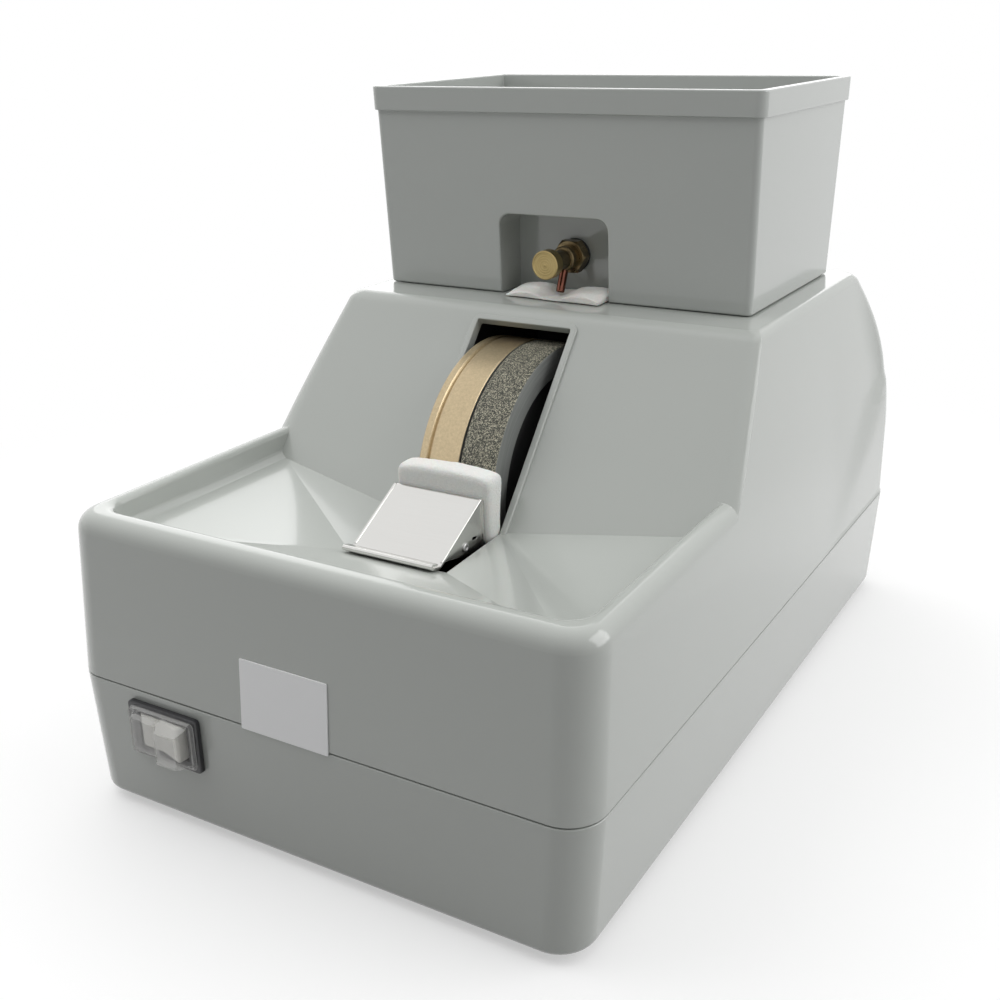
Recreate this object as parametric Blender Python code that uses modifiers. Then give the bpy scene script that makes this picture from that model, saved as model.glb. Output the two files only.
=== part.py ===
"""Hand edging machine for spectacle lenses: two belt-driven wheels in a moulded casing, under a water tank.

X runs across the machine, -Y is the front where the user sits, +Z is up.
The origin lies on the ground under the middle of the casing.
"""
import math

import bmesh
import bpy
from mathutils import Matrix, Vector

MM = 0.001

# Clearances and overruns
GAP = 0.3 * MM
STACK_GAP = 0.1 * MM
OVERRUN = 5 * MM
MERGE = 0.01 * MM
FLUSH_STEP = 0.05 * MM

# Facets of round pieces
FINE_SIDES = 60
ROUND_SIDES = 28
SMALL_SIDES = 16
CORNER_STEPS = 6
ROUNDING_STEPS = 4
EDGE_STEPS = 3
SHARP_ANGLE = math.radians(32)

# Casing outline
HALF_WIDTH = 106.9 * MM
HALF_DEPTH = 164.8 * MM
FOOT_HEIGHT = 3.5 * MM
SEAM_HEIGHT = 52.2 * MM
RIM_HEIGHT = 113 * MM
PLATFORM_HEIGHT = 164 * MM
WALL = 3 * MM
CORNER_RADIUS = 13.3 * MM

# Lower tray
TRAY_SIDE_DRAFT = 3.3 * MM
TRAY_BACK_DRAFT = 1.3 * MM
TRAY_EDGE_RADIUS = 3.2 * MM
SEAM_REVEAL = 0.4 * MM
TONGUE_THICKNESS = 1.7 * MM
TONGUE_HEIGHT = 4 * MM
TONGUE_ROOT = 6 * MM

# Upper cover
RIM_FRONT_DRAFT = 4.9 * MM
BELT_LEAN = 0.6 * MM
PLATFORM_HALF_WIDTH = 94.2 * MM
SLOPE_FOOT_Y = -44.3 * MM
PLATFORM_FRONT_Y = 0.5 * MM
BACK_SWEEP = 32 * MM
BACK_SWEEP_START = 85 * MM
BACK_SWEEP_POWER = 2.5
RIM_ROUND = 6 * MM
PLATFORM_ROUND = 3.4 * MM
SLOPE_EDGE_LOW = 9.5 * MM
SLOPE_EDGE_HIGH = 4.5 * MM
SLOPE_EDGE_TURN = math.radians(50)
FLANK_BULGE = 2 * MM
FLANK_LOW_Y = 78 * MM
FLANK_LOW_HEIGHT = 66 * MM
FLANK_END_Y = 143 * MM
FLANK_END_HEIGHT = 113 * MM
FLANK_TOP_Y = 121 * MM
FLANK_FADE = 16 * MM
CREASE_DROP = 7.5 * MM
CREASE_FALL = 25 * MM
CREASE_CURVE = 63 * MM
CREASE_LOW = 1.5 * MM
SIDE_SHARES = (0.12, 0.25, 0.38, 0.5, 0.62, 0.72, 0.79, 0.86, 0.93)
HUMP_SHARES = (0, 0.12, 0.24, 0.42, 0.6, 0.75, 0.88, 1)
FLANK_SHARES = (0.33, 0.67, 1)

# Hopper basin
RAIL_WIDTH = 7.4 * MM
FRONT_RAIL_WIDTH = 10.9 * MM
BASIN_CORNER = 9 * MM
BASIN_LIP_WIDTH = 3.6 * MM
BASIN_LIP_DROP = 2.4 * MM
BASIN_WALL_DRAFT = 0.3 * MM
STRIP_WIDTH = 3.4 * MM
STRIP_HEIGHT = 2 * MM
FLOOR_HEIGHT = 102.4 * MM
MOUTH_REAR_HEIGHT = 92.7 * MM
MOUTH_FRONT_HEIGHT = 91.5 * MM
MOUTH_FRONT_Y = -100 * MM

# Wheel slot and its bead
SLOT_LEFT = -25.4 * MM
SLOT_RIGHT = 17.9 * MM
SLOT_TOP_DROP = 5.6 * MM
BEAD_WIDTH = 2.7 * MM
BEAD_HEIGHT = 1.2 * MM

# Feet, screws and posts
FOOT_RADIUS = 9 * MM
FOOT_INSET = 24 * MM
POST_RADIUS = 5 * MM
POST_HEIGHT = 24 * MM
POST_BITE = 2 * MM
POST_RIB = 2 * MM
POST_RIB_BITE = 0.5 * MM
SCREW_RADIUS = 1.5 * MM
SCREW_HEAD_RADIUS = 3 * MM
SCREW_HEAD_HEIGHT = 2.2 * MM
SCREW_SEAT_HEIGHT = 36 * MM
SCREW_ENGAGEMENT = 16 * MM

# Mains switch
SWITCH_INSET = 46.1 * MM
SWITCH_Z = 37.7 * MM
SWITCH_FRAME_WIDTH = 33 * MM
SWITCH_FRAME_HEIGHT = 21.4 * MM
SWITCH_FRAME_PROUD = 2.2 * MM
SWITCH_BODY_WIDTH = 27 * MM
SWITCH_BODY_HEIGHT = 18.5 * MM
SWITCH_BODY_DEPTH = 22 * MM
ROCKER_WIDTH = 20.5 * MM
ROCKER_HEIGHT = 13.4 * MM
ROCKER_PIVOT_DEPTH = 3.5 * MM
ROCKER_TILT = math.radians(8)
ROCKER_CROWN = 3.6 * MM
ROCKER_KEEL = 2.6 * MM
BOOT_WALL = 0.7 * MM
BOOT_HEIGHT = 7.4 * MM
BOOT_FLANGE = 1.2 * MM
BOOT_MARGIN = 1.3 * MM

# Mains inlet
INLET_INSET = 46.9 * MM
INLET_Z = 28 * MM
INLET_WIDTH = 27.2 * MM
INLET_HEIGHT = 19.8 * MM
INLET_SOCKET_WIDTH = 23.6 * MM
INLET_SOCKET_HEIGHT = 15.8 * MM
INLET_SOCKET_DEPTH = 14 * MM
INLET_DEPTH = 20 * MM
INLET_FLANGE = 3 * MM
INLET_FLANGE_THICKNESS = 2 * MM
PIN_LENGTH = 17 * MM
PIN_WIDTH = 2 * MM
PIN_HEIGHT = 4 * MM
PIN_SPACING = 7 * MM
PIN_RISE = 2 * MM

# Front plate
LABEL_LEFT = -24.2 * MM
LABEL_RIGHT = 12.8 * MM
LABEL_BOTTOM = 51.2 * MM
LABEL_TOP = 76.9 * MM
LABEL_THICKNESS = 0.4 * MM

# Spindle and wheels
SPINDLE_Y = -5.6 * MM
SPINDLE_Z = 95.4 * MM
SPINDLE_RADIUS = 6 * MM
SPINDLE_LEFT = -57 * MM
SPINDLE_RIGHT = 71 * MM
SPINDLE_CHAMFER = 1 * MM
WHEEL_RADIUS = 56 * MM
WHEEL_RIGHT = 13.2 * MM
COARSE_WIDTH = 15.7 * MM
SPACER_WIDTH = 0.8 * MM
FINE_WIDTH = 18 * MM
SPACER_INSET = 1.2 * MM
WHEEL_CHAMFER = 1.2 * MM
GROOVE_WIDTH = 2.4 * MM
GROOVE_DEPTH = 1.2 * MM
GROOVE_SETBACK = 3.2 * MM
FLANGE_RADIUS = 19 * MM
FLANGE_WIDTH = 4 * MM
NUT_WIDTH = 5 * MM
NUT_FLATS = 18 * MM

# Wheel tub, hood and seals
TUB_WALL = 2 * MM
TUB_SIDE_CLEARANCE = 6.5 * MM
TUB_LEFT_EXTRA = 4.5 * MM
TUB_TOP = 82 * MM
TUB_FRONT_MARGIN = 6 * MM
WHEEL_REAR_CLEARANCE = 5 * MM
HOOD_TOP_DROP = 6 * MM
HOOD_SLOPE_GAP = 1.5 * MM
HOOD_NOSE_HEIGHT = 96 * MM
DRIP_HOLE_RADIUS = 5 * MM
SEAL_RADIUS = 9 * MM
SEAL_FLANGE_RADIUS = 12 * MM
SEAL_FLANGE_WIDTH = 1.5 * MM
DRAIN_Y = -75 * MM
DRAIN_RADIUS = 7 * MM
DRAIN_BORE = 4.5 * MM
PLUG_LENGTH = 12 * MM
PLUG_HEAD = 1.6 * MM

# Chassis, pedestals and bearings
CHASSIS_THICKNESS = 2 * MM
CHASSIS_RIB = 3 * MM
CHASSIS_FRONT_Y = -34 * MM
CHASSIS_BACK_Y = 148 * MM
CHASSIS_HALF_WIDTH = 82 * MM
PEDESTAL_WIDTH = 14 * MM
PEDESTAL_HALF_BASE = 26 * MM
PEDESTAL_HEAD = 19 * MM
PEDESTAL_OFFSET = 4 * MM
BEARING_RADIUS = 14 * MM
BEARING_WIDTH = 9 * MM
BEARING_SHOULDER = 10.5 * MM
BEARING_CHAMFER = 0.5 * MM

# Belt drive
PULLEY_LEFT = 56 * MM
PULLEY_WIDTH = 14 * MM
SPINDLE_PULLEY_RADIUS = 18 * MM
MOTOR_PULLEY_RADIUS = 24 * MM
PULLEY_RIM = 3 * MM
PULLEY_RIM_WIDTH = 2 * MM
BELT_THICKNESS = 2.2 * MM
BELT_SIDE_GAP = 0.6 * MM

# Motor
MOTOR_Y = 104 * MM
MOTOR_Z = 56 * MM
MOTOR_RADIUS = 38 * MM
MOTOR_CASE_WALL = 3 * MM
MOTOR_CASE_LEFT = -44 * MM
MOTOR_CASE_LENGTH = 70 * MM
MOTOR_END_DEPTH = 12 * MM
MOTOR_END_WALL = 4 * MM
MOTOR_SHAFT_RADIUS = 5 * MM
MOTOR_SHAFT_LEFT = -56 * MM
STATOR_SETBACK = 8 * MM
ROTOR_RADIUS = 20 * MM
ROTOR_SETBACK = 6 * MM
AIR_GAP = 0.6 * MM
CRADLE_LENGTH = 50 * MM
CRADLE_HALF_WIDTH = 30 * MM
CAPACITOR_RADIUS = 15 * MM
CAPACITOR_LENGTH = 52 * MM
CAPACITOR_CHAMFER = 1 * MM
CAPACITOR_X = -62 * MM
CAPACITOR_Y = 42 * MM
TERMINAL_X = -70 * MM
TERMINAL_Y = 105 * MM
TERMINAL_LENGTH = 36 * MM
TERMINAL_WIDTH = 18 * MM
TERMINAL_HEIGHT = 15 * MM

# Sponge bracket and sponge
BRACKET_LEFT = -24.3 * MM
BRACKET_RIGHT = 15 * MM
SHEET = 0.8 * MM
BRACKET_LIP_Y = -104.4 * MM
BRACKET_BASE_Y = -99.3 * MM
BRACKET_TOP_Y = -69.6 * MM
BRACKET_TOP_HEIGHT = 108.6 * MM
BRACKET_BACK_DROP = 20.6 * MM
BRACKET_SHELF_Y = -64 * MM
BRACKET_SCREW_Y = -82 * MM
BRACKET_SCREW_Z = 93.6 * MM
BRACKET_SCREW_RADIUS = 1.9 * MM
BRACKET_SCREW_PROUD = 0.7 * MM
SPONGE_SIDE_INSET = 0.5 * MM
SPONGE_TOP_HEIGHT = 116.7 * MM
SPONGE_CROWN = 1.4 * MM

# Water tank
TANK_RISE = 84.8 * MM
TANK_WALL = 2.5 * MM
TANK_FRONT_Y = 22.8 * MM
TANK_BACK_Y = 121.6 * MM
TANK_HALF_WIDTH = 85.4 * MM
TANK_SIDE_FLARE = 2 * MM
TANK_FRONT_FLARE = 2.6 * MM
TANK_BACK_FLARE = 6.5 * MM
TANK_CORNER = 2.8 * MM
TANK_X = -3.5 * MM
LIP_HEIGHT = 9.9 * MM
LIP_PROUD = 1.3 * MM
NICHE_LEFT = -30.4 * MM
NICHE_RIGHT = 20.4 * MM
NICHE_RISE = 33.9 * MM
NICHE_DEPTH = 16.6 * MM
NICHE_CORNER = 5 * MM

# Drip tap
TAP_X = -3 * MM
TAP_RISE = 15.8 * MM
TAP_BORE_RADIUS = 4 * MM
TAP_NUT_FLATS = 13.3 * MM
TAP_NUT_WIDTH = 5.5 * MM
TAP_GASKET_RADIUS = 7 * MM
TAP_GASKET_WIDTH = 1.2 * MM
TAP_BARREL_RADIUS = 4.9 * MM
TAP_BARREL_LENGTH = 13 * MM
TAP_COLLAR_RADIUS = 6 * MM
TAP_COLLAR_WIDTH = 1.4 * MM
TAP_TAIL_RADIUS = 3.6 * MM
TAP_TAIL_LENGTH = 11 * MM
TAP_LOCK_WIDTH = 4 * MM
KNOB_RADIUS = 6 * MM
KNOB_WIDTH = 4.6 * MM
KNOB_EDGE = 0.5 * MM
KNOB_STEM_RADIUS = 3 * MM
KNOB_STEM_LENGTH = 7 * MM
SPOUT_RADIUS = 1.8 * MM
SPOUT_BORE = 1.1 * MM
SPOUT_DROP = 11.3 * MM
SPOUT_LEAN = math.radians(24)
SPOUT_SETBACK = 9.9 * MM

# Drip pad
PAD_HEIGHT = 4.8 * MM
PAD_EDGE_DROP = 1.8 * MM
PAD_BACK_DROP = 2.6 * MM
PAD_LEAST_HEIGHT = 0.7 * MM
PAD_PINCH = 4.2 * MM
PAD_PINCH_REACH = 9 * MM
PAD_FORWARD = 8 * MM
PAD_LOBE = 2.4 * MM
PAD_SIDE_GAP = 0.8 * MM
PAD_LEFT_GAP = 4.8 * MM
PAD_EDGE_SHARE = 0.7
PAD_CREST_SHARE = 0.6
DRAIN_SLOT_WIDTH = 26 * MM
DRAIN_SLOT_DEPTH = 9 * MM

# Places worked out from the sizes above
TRAY_FLOOR = FOOT_HEIGHT + WALL
CHASSIS_BASE = TRAY_FLOOR + CHASSIS_RIB
CHASSIS_TOP = CHASSIS_BASE + CHASSIS_THICKNESS
SLOPE_RUN = (PLATFORM_FRONT_Y - SLOPE_FOOT_Y) / (PLATFORM_HEIGHT - RIM_HEIGHT)
SLOPE_NORMAL = Vector((0, -1, SLOPE_RUN)).normalized()
SLOPE_UP = Vector((0, SLOPE_RUN, 1)).normalized()
WALL_RUN = WALL / -SLOPE_NORMAL.y
SLOT_TOP_HEIGHT = PLATFORM_HEIGHT - SLOT_TOP_DROP
HOOD_TOP = PLATFORM_HEIGHT - HOOD_TOP_DROP
TANK_TOP = PLATFORM_HEIGHT + TANK_RISE
NICHE_TOP = PLATFORM_HEIGHT + NICHE_RISE
TAP_Z = PLATFORM_HEIGHT + TAP_RISE
BRACKET_SHELF_HEIGHT = BRACKET_TOP_HEIGHT - BRACKET_BACK_DROP
SWITCH_X = SWITCH_INSET - HALF_WIDTH
INLET_X = HALF_WIDTH - INLET_INSET
WHEEL_LEFT = WHEEL_RIGHT - COARSE_WIDTH - SPACER_WIDTH - FINE_WIDTH
TUB_RIGHT = WHEEL_RIGHT + TUB_SIDE_CLEARANCE
TUB_LEFT = WHEEL_LEFT - TUB_SIDE_CLEARANCE - TUB_LEFT_EXTRA
TUB_FRONT = MOUTH_FRONT_Y - TUB_FRONT_MARGIN
TUB_BACK = SPINDLE_Y + WHEEL_RADIUS + WHEEL_REAR_CLEARANCE
TUB_BASE = CHASSIS_TOP + GAP
NICHE_BACK_Y = TANK_FRONT_Y + NICHE_DEPTH
TANK_BASE = PLATFORM_HEIGHT + GAP
COLLECTION_NAME = "lens_faceting_machine"


def new_collection(name):
    collection = bpy.data.collections.new(name)
    bpy.context.scene.collection.children.link(collection)
    return collection


def clear_scene():
    for obj in list(bpy.data.objects):
        bpy.data.objects.remove(obj, do_unlink=True)


clear_scene()
PARTS = new_collection(COLLECTION_NAME)
CUTTERS = new_collection("cutters")


def material(name, color, roughness, metallic=0, alpha=1):
    made = bpy.data.materials.new(name)
    made.use_nodes = True
    shader = made.node_tree.nodes["Principled BSDF"]
    shader.inputs["Base Color"].default_value = (*color, 1)
    shader.inputs["Roughness"].default_value = roughness
    shader.inputs["Metallic"].default_value = metallic
    shader.inputs["Alpha"].default_value = alpha
    return made


CASING = material("casing_plastic", (0.52, 0.56, 0.55), 0.22)
TANK_PLASTIC = material("tank_plastic", (0.44, 0.48, 0.47), 0.25)
BLACK_PLASTIC = material("black_plastic", (0.02, 0.02, 0.025), 0.35)
ROCKER_PLASTIC = material("rocker_plastic", (0.6, 0.6, 0.58), 0.4)
CLEAR_RUBBER = material("clear_rubber", (0.85, 0.86, 0.85), 0.2, 0, 0.4)
RUBBER = material("rubber", (0.03, 0.03, 0.03), 0.8)
STEEL = material("steel", (0.6, 0.6, 0.6), 0.35, 1)
STAINLESS = material("stainless_sheet", (0.78, 0.77, 0.74), 0.2, 1)
ALUMINIUM = material("aluminium", (0.7, 0.7, 0.7), 0.45, 1)
BRASS = material("brass", (0.6, 0.45, 0.2), 0.35, 1)
COPPER = material("copper", (0.6, 0.25, 0.15), 0.3, 1)
FINE_GRIT = material("fine_bronze_bond", (0.62, 0.47, 0.28), 0.45, 1)
COARSE_GRIT = material("coarse_grit", (0.12, 0.12, 0.11), 0.8, 0.3)
FOAM = material("white_foam", (0.87, 0.87, 0.84), 0.95)
WHITE_PLATE = material("white_plate", (0.85, 0.85, 0.84), 0.4)
GREEN_ENAMEL = material("motor_enamel", (0.12, 0.2, 0.2), 0.4)
TUB_PLASTIC = material("tub_plastic", (0.75, 0.76, 0.75), 0.5)


def place(name, mesh, finish):
    """Puts a mesh in the scene as a part, or as a hidden cutter when it has no finish."""
    obj = bpy.data.objects.new(name, mesh)
    collection = PARTS if finish else CUTTERS
    collection.objects.link(obj)
    if finish:
        mesh.materials.append(finish)
        mesh.shade_smooth()
        mesh.set_sharp_from_angle(angle=SHARP_ANGLE)
    else:
        obj.hide_render = True
        obj.display_type = "WIRE"
    return obj


def finished_mesh(name, shape):
    bmesh.ops.recalc_face_normals(shape, faces=shape.faces)
    mesh = bpy.data.meshes.new(name)
    shape.to_mesh(mesh)
    shape.free()
    return mesh


def box(name, low, high, finish=None, bevel=0):
    """A box between two corners, with rounded edges when a bevel width is given."""
    low, high = Vector(low), Vector(high)
    shape = bmesh.new()
    bmesh.ops.create_cube(shape, size=1)
    bmesh.ops.scale(shape, vec=high - low, verts=shape.verts)
    bmesh.ops.translate(shape, vec=(low + high) / 2, verts=shape.verts)
    obj = place(name, finished_mesh(name, shape), finish)
    if bevel:
        modifier = obj.modifiers.new("edges", "BEVEL")
        modifier.width = bevel
        modifier.segments = 2
        modifier.limit_method = "ANGLE"
    return obj


AXES = {
    "X": Matrix(((0, 0, 1), (1, 0, 0), (0, 1, 0))).to_4x4(),
    "Y": Matrix(((1, 0, 0), (0, 0, -1), (0, 1, 0))).to_4x4(),
    "Z": Matrix.Identity(4),
}


def prism(name, outline, start, end, finish=None, axis="X", centre=(0, 0, 0)):
    """A flat outline drawn out along an axis: (y, z) points on X, (x, z) to the front on Y, (x, y) on Z."""
    curve = bpy.data.curves.new(name, "CURVE")
    curve.dimensions = "2D"
    curve.fill_mode = "BOTH"
    curve.extrude = abs(end - start) / 2
    spline = curve.splines.new("POLY")
    spline.points.add(len(outline) - 1)
    for point, (across, up) in zip(spline.points, outline):
        point.co = (across, up, 0, 1)
    spline.use_cyclic_u = True
    flat = bpy.data.objects.new(name + "_outline", curve)
    CUTTERS.objects.link(flat)
    graph = bpy.context.evaluated_depsgraph_get()
    shape = bmesh.new()
    shape.from_mesh(bpy.data.meshes.new_from_object(flat.evaluated_get(graph)))
    bpy.data.objects.remove(flat)
    bmesh.ops.remove_doubles(shape, verts=shape.verts, dist=MERGE)
    bmesh.ops.translate(shape, vec=(0, 0, (start + end) / 2), verts=shape.verts)
    obj = place(name, finished_mesh(name, shape), finish)
    obj.matrix_world = Matrix.Translation(centre) @ AXES[axis]
    return obj


def turned(name, profile, centre, axis, finish=None, sides=ROUND_SIDES):
    """Turns (radius, along) points about the axis through centre. A profile off the axis is a closed loop.

    On X and Z, along runs the way the axis does. On Y, it runs to the front.
    """
    mesh = bpy.data.meshes.new(name)
    points = [(radius, 0, along) for radius, along in profile]
    edges = [(i, i + 1) for i in range(len(points) - 1)]
    if min(radius for radius, along in profile) > 0:
        edges.append((len(points) - 1, 0))
    mesh.from_pydata(points, edges, [])
    obj = place(name, mesh, finish)
    screw = obj.modifiers.new("turn", "SCREW")
    screw.steps = sides
    screw.render_steps = sides
    screw.use_merge_vertices = True
    screw.merge_threshold = MERGE
    screw.use_smooth_shade = False
    obj.matrix_world = Matrix.Translation(centre) @ AXES[axis]
    return obj


def ring_profile(inner, outer, start, end, chamfer=0):
    """Closed loop of a ring's section, running down its outer side."""
    top = [(inner, end), (outer - chamfer, end)]
    side = [(outer, end - chamfer), (outer, start + chamfer)] if chamfer else []
    bottom = [(outer - chamfer, start), (inner, start)]
    return top + side + bottom


def rod_profile(radius, start, end, chamfer=0):
    """Section of a rod from the axis out and back, running down its outer side."""
    top = [(0, end), (radius - chamfer, end)]
    side = [(radius, end - chamfer), (radius, start + chamfer)] if chamfer else []
    bottom = [(radius - chamfer, start), (0, start)]
    return top + side + bottom


def hexagon(name, flats, start, end, centre, axis, finish, bore):
    """A hexagon nut with a round bore."""
    shape = bmesh.new()
    radius = flats / 2 / math.cos(math.pi / 6)
    bmesh.ops.create_cone(shape, cap_ends=True, segments=6, radius1=radius, radius2=radius, depth=end - start)
    bmesh.ops.translate(shape, vec=(0, 0, (start + end) / 2), verts=shape.verts)
    obj = place(name, finished_mesh(name, shape), finish)
    obj.matrix_world = Matrix.Translation(centre) @ AXES[axis]
    hole = turned(name + "_bore", rod_profile(bore, start - OVERRUN, end + OVERRUN), centre, axis)
    cut(obj, hole)
    return obj


def cut(obj, cutter, operation="DIFFERENCE"):
    modifier = obj.modifiers.new(operation.lower() + "_" + cutter.name, "BOOLEAN")
    modifier.operation = operation
    modifier.object = cutter
    modifier.solver = "EXACT"
    return obj


def loft(name, rings, finish=None):
    """Closed skin over rings of equally many points, capped at both ends."""
    shape = bmesh.new()
    rows = [[shape.verts.new(point) for point in ring] for ring in rings]
    count = len(rows[0])
    for lower, upper in zip(rows, rows[1:]):
        for i in range(count):
            k = (i + 1) % count
            shape.faces.new((lower[i], lower[k], upper[k], upper[i]))
    shape.faces.new(list(reversed(rows[0])))
    shape.faces.new(rows[-1])
    return place(name, finished_mesh(name, shape), finish)


def plan_ring(half_width, front, back, radius, height, shares=()):
    """Rounded rectangle seen from above, from the front right corner round to the front left one.

    shares name the places along each side that get a point of their own.
    """
    places = [
        (half_width - radius, front + radius, -90),
        (half_width - radius, back - radius, 0),
        (-half_width + radius, back - radius, 90),
        (-half_width + radius, front + radius, 180),
    ]
    arcs = []
    for x, y, start in places:
        angles = [math.radians(start + 90 * step / CORNER_STEPS) for step in range(CORNER_STEPS + 1)]
        arcs.append([Vector((x + radius * math.cos(a), y + radius * math.sin(a), height)) for a in angles])
    right = [arcs[0][-1].lerp(arcs[1][0], share) for share in shares]
    left = [arcs[2][-1].lerp(arcs[3][0], 1 - share) for share in reversed(shares)]
    return arcs[0] + right + arcs[1] + arcs[2] + left + arcs[3]


def slope_y(height):
    return SLOPE_FOOT_Y + (height - RIM_HEIGHT) * SLOPE_RUN


def back_y(height):
    share = max(0, (height - BACK_SWEEP_START) / (PLATFORM_HEIGHT - BACK_SWEEP_START))
    return HALF_DEPTH - BACK_SWEEP * share ** BACK_SWEEP_POWER


def front_y(height):
    share = (height - SEAM_HEIGHT) / (RIM_HEIGHT - SEAM_HEIGHT)
    return -HALF_DEPTH + RIM_FRONT_DRAFT * min(max(share, 0), 1)


def crease_height(y):
    """Height of the fold along the cover's side, falling towards the back."""
    t = (y + HALF_DEPTH) / (2 * HALF_DEPTH)
    height = RIM_HEIGHT - CREASE_DROP - CREASE_FALL * t - CREASE_CURVE * t * t
    return max(height, SEAM_HEIGHT + CREASE_LOW)


def rear_corner_share(y, height):
    """How far a place on the side has passed from the leaning flank to the fuller rear corner."""
    if height < FLANK_END_HEIGHT:
        rise = (height - FLANK_LOW_HEIGHT) / (FLANK_END_HEIGHT - FLANK_LOW_HEIGHT)
        flank_end = FLANK_LOW_Y + (FLANK_END_Y - FLANK_LOW_Y) * rise
    else:
        rise = (height - FLANK_END_HEIGHT) / (PLATFORM_HEIGHT - FLANK_END_HEIGHT)
        flank_end = FLANK_END_Y + (FLANK_TOP_Y - FLANK_END_Y) * rise
    share = min(max((y - flank_end) / FLANK_FADE, 0), 1)
    return share * share * (3 - 2 * share)


def side_x(y, height):
    """Half width of the cover: a near upright belt under the fold, and a full flank leaning in above it."""
    fold = crease_height(y)
    fold_x = HALF_WIDTH - BELT_LEAN
    if height <= fold:
        return HALF_WIDTH - BELT_LEAN * max(0, height - SEAM_HEIGHT) / (fold - SEAM_HEIGHT)
    lean = fold_x - PLATFORM_HALF_WIDTH
    share = (height - fold) / (PLATFORM_HEIGHT - fold)
    flank = fold_x - lean * share + FLANK_BULGE * 4 * share * (1 - share)
    sweep = max(0, (height - BACK_SWEEP_START) / (PLATFORM_HEIGHT - BACK_SWEEP_START))
    corner = fold_x - lean * sweep * sweep
    return flank + (corner - flank) * rear_corner_share(y, height)


def warped(ring, inset):
    """Draws a ring of nominal half width in to the cover's side, by place and height."""
    moved = []
    for point in ring:
        reach = (side_x(point.y, point.z) - inset) / (HALF_WIDTH - inset)
        moved.append(Vector((point.x * reach, point.y, point.z)))
    return moved


def cover_ring(row, inset):
    """A ring of the cover below the rim. row names the level: a share up the belt or up above the fold."""
    level, share = row
    shoulder = RIM_HEIGHT - RIM_ROUND
    reach, radius = HALF_DEPTH - inset, CORNER_RADIUS - inset
    flat = plan_ring(HALF_WIDTH - inset, -reach, reach, radius, 0, SIDE_SHARES)
    ring = []
    for point in flat:
        fold = crease_height(point.y)
        low, high = (SEAM_HEIGHT, fold) if level == "belt" else (fold, shoulder)
        height = low + (high - low) * share
        ring.append(Vector((point.x, point.y, height)))
    return ring


def pulled(ring, inset):
    """Moves a ring's front and back to the cover's drafted front and swept back."""
    moved = []
    reach = HALF_DEPTH - inset
    for point in ring:
        far = (back_y(point.z) - inset) if point.y > 0 else (-front_y(point.z) - inset)
        moved.append(Vector((point.x, point.y * far / reach, point.z)))
    return moved


def block_rings(inset, top, rounding):
    """Rings of the cover's block, from under the seam to the rim."""
    rows = [("belt", 0), ("belt", 1)] + [("upper", share) for share in FLANK_SHARES]
    rings = [warped(pulled(cover_ring(row, inset), inset), inset) for row in rows]
    if not rounding:
        low = [Vector((p.x, p.y, SEAM_HEIGHT - OVERRUN)) for p in rings[0]]
        high = [Vector((p.x, p.y, top)) for p in rings[-1]]
        return [low] + rings + [high]
    shoulder = top - rounding
    for step in range(1, ROUNDING_STEPS + 1):
        angle = math.radians(90 * step / ROUNDING_STEPS)
        more = inset + rounding * (1 - math.cos(angle))
        height = shoulder + rounding * math.sin(angle)
        reach, radius = HALF_DEPTH - more, CORNER_RADIUS - more
        flat = plan_ring(HALF_WIDTH - more, -reach, reach, radius, height, SIDE_SHARES)
        rings.append(warped(pulled(flat, more), more))
    return rings


def hump_ring(height, inset, front_shift):
    """A ring of the hump, whose front lies on the slope and turns part of the way to a crisp side edge."""
    front = slope_y(height) + front_shift
    back = back_y(height) - inset
    half = HALF_WIDTH - inset
    ring = plan_ring(half, front, back, CORNER_RADIUS - inset, height, SIDE_SHARES)
    rise = (height - RIM_HEIGHT) / (PLATFORM_HEIGHT - RIM_HEIGHT)
    width = SLOPE_EDGE_LOW + (SLOPE_EDGE_HIGH - SLOPE_EDGE_LOW) * rise
    bend = width / math.sin(SLOPE_EDGE_TURN)
    for step in range(CORNER_STEPS + 1):
        a = SLOPE_EDGE_TURN * step / CORNER_STEPS
        x = half - width + bend * math.sin(a)
        y = front + bend * (1 - math.cos(a))
        ring[step] = Vector((x, y, height))
        ring[-1 - step] = Vector((-x, y, height))
    return warped(ring, inset)


def hump_rings(inset, front_shift, bottom, top, rounding):
    shoulder = top - rounding
    span = shoulder - bottom
    rings = [hump_ring(bottom + span * share, inset, front_shift) for share in HUMP_SHARES]
    if not rounding:
        return rings
    for step in range(1, EDGE_STEPS + 1):
        angle = math.radians(90 * step / EDGE_STEPS)
        more = rounding * (1 - math.cos(angle))
        height = shoulder + rounding * math.sin(angle)
        rings.append(hump_ring(height, inset + more, front_shift + more))
    return rings


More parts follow.
